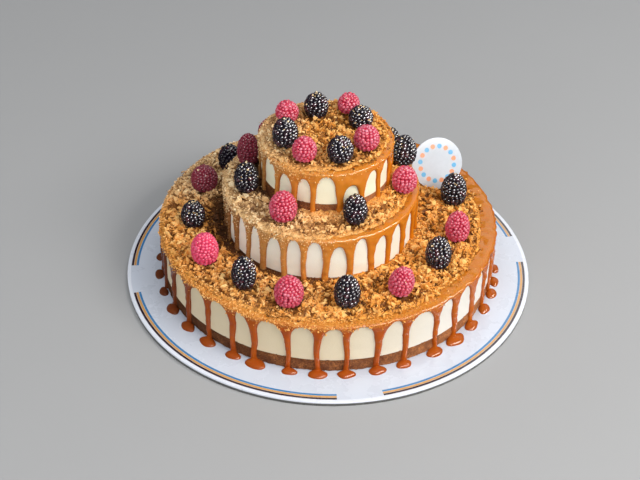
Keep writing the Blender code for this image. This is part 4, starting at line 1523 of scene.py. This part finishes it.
# Painted shade on the berries in shade, and below 0 painted light on the brightest pink one; on dark berries
# it cuts their gloss
BERRY_PAINTED_SHADE = {"raspberry_01": 0.9, "raspberry_08": 0.95, "raspberry_12": 0.8, "raspberry_07": 0.6,
          "raspberry_02": -0.8, "dark_berry_01": 0.9, "dark_berry_12": 0.7}


class MakeBerries(bpy.types.Operator):
    """Raspberries and dark berries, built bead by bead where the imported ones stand"""

    bl_idname = "cheesecake.berries"
    bl_label = "Berries"

    def execute(self, context):
        look = context.scene.cheesecake_berries
        kinds = {
            "raspberry": (look.red_pitch, raspberry_finish(look)),
            "dark_berry": (look.dark_pitch, dark_berry_finish(look)),
        }
        for number, node in enumerate(BERRIES):
            kind = node.rsplit("_", 1)[0]
            pitch, finish = kinds[kind]
            rng = np.random.default_rng(300 + number)
            base, turn, height, radius = berry_stance(node)
            points, faces, tones, crowns = berry_mesh(height, radius, pitch, rng)
            mesh = build_mesh(f"{node}_beads", points @ turn.T + base, faces)
            add_values(mesh, tone=tones, crown=crowns, ripe=np.full(len(points), BERRY_PAINTED_SHADE.get(node, 0.0)))
            place(f"{node}_beads", mesh, finish, kind, node)
        return {"FINISHED"}


# Dust


def grains_on(rng, points, normals, weights, count, width):
    """Places, turns and widths of grains that lie on a surface, more of them where weights are high."""
    picked = rng.choice(len(points), count, p=weights / weights.sum())
    along = rng.normal(0, 0.45 * MM, (count, 3))
    normal = normals[picked]
    along -= normal * (along * normal).sum(-1, keepdims=True)
    widths = np.clip(width * np.exp(rng.normal(0, 0.35, count)), 0.35 * MM, 2.4 * MM)
    centres = points[picked] + along + normal * (rng.uniform(-0.1, 0.35, count) * widths)[:, None]
    return centres, random_turns(rng, count, 60), widths


def points_and_normals(piece):
    """The points of a piece made before, and the surface's direction at each."""
    mesh = bpy.data.objects[piece].data
    points, normals = np.empty((2, len(mesh.vertices) * 3), np.float32)
    mesh.vertices.foreach_get("co", points)
    mesh.vertices.foreach_get("normal", normals)
    return points.reshape(-1, 3).astype(float), normals.reshape(-1, 3).astype(float)


class MakeDust(bpy.types.Operator):
    """Fine grains on the caramel's rims and the upper tiers' left drips, and crumbs on the berries"""

    bl_idname = "cheesecake.dust"
    bl_label = "Fine dust"

    def execute(self, context):
        look = context.scene.cheesecake_crumbs
        finish = bpy.data.materials["Golden crumbs"]
        for tier in TIERS:
            self.dust_rim(tier, look, finish)
        self.crumb_berries(look, finish)
        return {"FINISHED"}

    def dust_rim(self, tier, look, finish):
        rng = np.random.default_rng(tier.seed + 130)
        points, normals = points_and_normals(f"{tier.name}_tier_caramel")
        x, y, z = points.T
        below, far = tier.top - z, tier.far(x, y)
        reach = (2.0 + (0.0 if tier is BOTTOM else 5.0) * dusty_share(tier, x, y)) * MM
        share = np.where(below < 2.6 * MM, 1.0, np.exp(-(below - 2.6 * MM) / reach))
        share = share * crumbed_share(tier, x, y) ** 1.5 * (far > tier.wall - 13 * MM)
        # A point stands for less of the surface on the finely divided wall than on the sheet
        share = share * np.where(far > tier.wall - 3 * MM, 0.4, 1.0)
        count = int(share.sum() * 1.1 * look.rim_grains)
        centres, turns, widths = grains_on(rng, points, normals, share, count, 1.05 * look.grain)
        tones = np.clip(rng.normal(0.5, 0.3, count), 0, 1)
        scatter(f"{tier.name}_rim_grains", finish, grain_points(rng, widths), GRAIN_FACES, centres,
                turns, tones, dusty_share(tier, centres[:, 0], centres[:, 1]))

    def crumb_berries(self, look, finish):
        rng = np.random.default_rng(77)
        found = []
        for node in BERRIES:
            points, normals = points_and_normals(f"{node}_beads")
            up = (points[:, 2] - points[:, 2].min()) / np.ptp(points[:, 2])
            share = np.clip((up - 0.45) * 2.5, 0, 1) * np.clip(normals[:, 2] + 0.1, 0, 1)
            fewest, most = (25, 75) if node.startswith("dark") else (3, 12)
            count = int(rng.integers(fewest, most))
            found.append(grains_on(rng, points, normals, share, count, 1.35 * look.grain))
        centres, turns, widths = (np.concatenate(part) for part in zip(*found))
        tones = np.clip(rng.normal(1.0, 0.2, len(widths)), 0, 1.2)
        # They stay under the tallest berry's tip
        centres[:, 2] = np.minimum(centres[:, 2], CAD_BOX[1].z - 0.9 * MM)
        scatter("berry_crumbs", finish, flake_points(rng, widths), FLAKE_FACES, centres, turns, tones,
                np.full(len(widths), 0.9))


# Tag


def tag_finish(look):
    """White card with a ring of pale dots in two colours."""
    finish, tree, shader = new_material("Dotted white card")
    far, azimuth, _ = round_place(tree)
    pitch = 2 * math.pi / look.dots
    turn = calculate(tree, "FLOORED_MODULO", azimuth, pitch)
    across = product(tree, calculate(tree, "SUBTRACT", turn, pitch / 2), look.dot_ring)
    off_dot = hypotenuse(tree, across, calculate(tree, "SUBTRACT", far, look.dot_ring))
    dot = spread(tree, off_dot, 0.9 * look.dot_radius, 1.1 * look.dot_radius, 1.0, 0.0)
    in_pair = calculate(tree, "FLOORED_MODULO", azimuth, 2 * pitch)
    ink = mix_colours(tree, calculate(tree, "GREATER_THAN", in_pair, pitch), look.peach, look.sky)
    fibre, relief = speckle(tree, 260.0, 0.35, 0.65)
    card = mix_colours(tree, fibre, shade(0.96, look.card), look.card)
    paint(tree, shader, mix_colours(tree, dot, card, ink), relief, 0.38, 0.5)
    bump(tree, shader, relief, 0.05 * MM, 0.3)
    return finish


class MakeTag(bpy.types.Operator):
    """The round card tag, standing on its edge in the crumbs"""

    bl_idname = "cheesecake.tag"
    bl_label = "Tag"

    def execute(self, context):
        look = context.scene.cheesecake_tag
        corners = flat_corners("tag")
        middle = corners.mean(0)
        face = np.linalg.svd(corners - middle)[2][2]
        face *= -np.sign(face[1])
        up = np.array([0, 0, 1.0]) - face * face[2]
        up /= np.linalg.norm(up)
        across = np.cross(up, face)
        half = ((corners - middle) @ face).max()
        radius = np.linalg.norm(np.cross(corners - middle, face), axis=1).max()
        profile = [(0.0, -half), (radius * 0.5, -half)]
        profile += rounded_side(radius, -half, half, look.edge_rounding, 3)
        profile += [(radius * 0.5, half), (0.0, half)]
        mesh = build_mesh("round_tag", *turned(profile, 120, (0.0, 0.0)))
        turn = Matrix(np.stack([across, up, face], axis=1).tolist()).to_4x4()
        place("round_tag", mesh, tag_finish(look), "white_card", "tag",
              stands=Matrix.Translation(middle.tolist()) @ turn)
        return {"FINISHED"}


# Stage


Lamp = namedtuple("Lamp", "name azimuth height distance face tint unseen_in")

# The lights beside the main one: azimuth and height above the horizon in degrees, distance and face
# in metres, tint, and the kind of ray that doesn't meet the light
LAMPS = (
    Lamp("top", -100, 76, 1.5, (1.1, 1.1), (0.98, 0.99, 1.0), None),
    Lamp("fill", -125, 34, 1.8, (1.2, 1.2), (0.93, 0.96, 1.0), "glossy"),
    Lamp("glint", -36, 50, 1.6, (2.6, 0.5), (1.0, 0.98, 0.95), "diffuse"),
    Lamp("window", 60, 36, 1.8, (1.1, 0.9), (0.96, 0.98, 1.0), "diffuse"),
)
CAKE_MIDDLE = Vector((0, 0, 0.06))  # where the lights point
FLOOR_REACH = 6.0  # metres from the cake to the floor's edge


def pale_floor(look):
    """A plain floor with a very faint mottle."""
    finish, tree, shader = new_material("Pale floor")
    mottle, _ = speckle(tree, 12.0, 0.2, 0.8)
    colour_here = mix_colours(tree, mottle, shade(0.985, look.floor), look.floor)
    tree.links.new(colour_here, shader.inputs["Base Color"])
    set_values(shader, {"Roughness": 0.55, "Specular IOR Level": 0.3})
    return finish


class MakeStage(bpy.types.Operator):
    """Floor, lights and camera"""

    bl_idname = "cheesecake.stage"
    bl_label = "Stage"

    def execute(self, context):
        scene, look = context.scene, context.scene.cheesecake_stage
        corners = [(x * FLOOR_REACH, y * FLOOR_REACH, 0) for x, y in ((-1, -1), (1, -1), (1, 1), (-1, 1))]
        mesh = build_mesh("floor", corners, [(0, 1, 2, 3)])
        mesh.materials.append(pale_floor(look))
        floor = bpy.data.objects.new("floor", mesh)
        scene.collection.objects.link(floor)

        self.add_light("key", look.key_azimuth, look.key_height, look.key_distance,
                       (look.key_width, look.key_tall), look.key_power, look.key_tint)
        for lamp in LAMPS:
            light = self.add_light(lamp.name, math.radians(lamp.azimuth), math.radians(lamp.height),
                                   lamp.distance, lamp.face, getattr(look, f"{lamp.name}_power"), lamp.tint)
            if lamp.unseen_in:
                setattr(light, f"visible_{lamp.unseen_in}", False)
        self.add_sky(scene, look)
        self.add_camera(scene, look)
        scene.view_settings.view_transform = "Standard"
        return {"FINISHED"}

    def add_light(self, name, azimuth, height, distance, face, power, tint):
        data = bpy.data.lights.new(f"{name}_light", "AREA")
        data.shape, data.energy, data.color = "RECTANGLE", power, tint
        data.size, data.size_y = face
        light = bpy.data.objects.new(f"{name}_light", data)
        bpy.context.scene.collection.objects.link(light)
        away = Vector(about_axis(math.cos(height), azimuth, math.sin(height)))
        light.location = CAKE_MIDDLE + away * distance
        light.rotation_euler = away.to_track_quat("Z", "Y").to_euler()
        return light

    def add_sky(self, scene, look):
        scene.world = bpy.data.worlds.new("Soft sky")
        scene.world.use_nodes = True
        tree = scene.world.node_tree
        sky = tree.nodes["Background"]
        sky.inputs["Color"].default_value = (*look.sky, 1)
        # The room's walls reflect less in the caramel than they light it
        mirrored = add_node(tree, "ShaderNodeLightPath").outputs["Is Glossy Ray"]
        strength = spread(tree, mirrored, 0, 1, look.sky_strength, look.sky_mirrored)
        tree.links.new(strength, sky.inputs["Strength"])

    def add_camera(self, scene, look):
        scene.camera = bpy.data.objects.new("camera", bpy.data.cameras.new("camera"))
        scene.collection.objects.link(scene.camera)
        scene.camera.location = look.camera_place
        aim = Vector(look.camera_aim) - Vector(look.camera_place)
        level = aim.to_track_quat("-Z", "Y").to_matrix().to_4x4()
        scene.camera.rotation_euler = (level @ Matrix.Rotation(look.camera_roll, 4, "Z")).to_euler()
        lens = scene.camera.data
        lens.sensor_width, lens.lens = 36, look.lens
        lens.clip_start, lens.clip_end = 0.05, 50


# Panel


LOOKS = {
    "cheesecake_board": BoardLook,
    "cheesecake_layers": LayerLook,
    "cheesecake_caramel": CaramelLook,
    "cheesecake_crumbs": CrumbLook,
    "cheesecake_berries": BerryLook,
    "cheesecake_tag": TagLook,
    "cheesecake_stage": StageLook,
}
PIECES = (
    (MakeBoard, "cheesecake_board"),
    (MakeLayers, "cheesecake_layers"),
    (MakeCaramel, "cheesecake_caramel"),
    (MakeCrumbs, "cheesecake_crumbs"),
    (MakeBerries, "cheesecake_berries"),
    (MakeDust, "cheesecake_crumbs"),
    (MakeTag, "cheesecake_tag"),
    (MakeStage, "cheesecake_stage"),
)


class CheesecakePanel(bpy.types.Panel):
    """Lists the cake's pieces, with the sizes and colours of each"""

    bl_idname = "VIEW3D_PT_cheesecake"
    bl_label = "Layered Cheesecake"
    bl_space_type = "VIEW_3D"
    bl_region_type = "UI"
    bl_category = "Cheesecake"

    def draw(self, context):
        for operator, name in PIECES:
            box = self.layout.box()
            box.operator(operator.bl_idname)
            look = getattr(context.scene, name)
            for key in LOOKS[name].__annotations__:
                box.prop(look, key)


CLASSES = (*LOOKS.values(), *(operator for operator, _ in PIECES), CheesecakePanel)


def register():
    for made in CLASSES:
        bpy.utils.register_class(made)
    for name, look in LOOKS.items():
        setattr(bpy.types.Scene, name, PointerProperty(type=look))


def unregister():
    for name in LOOKS:
        delattr(bpy.types.Scene, name)
    for made in reversed(CLASSES):
        bpy.utils.unregister_class(made)


def main():
    register()
    bpy.ops.cheesecake.board()
    bpy.ops.cheesecake.layers()
    bpy.ops.cheesecake.caramel()
    bpy.ops.cheesecake.crumbs()
    bpy.ops.cheesecake.berries()
    bpy.ops.cheesecake.dust()
    bpy.ops.cheesecake.tag()
    bpy.ops.cheesecake.stage()


if __name__ == "__main__":
    main()
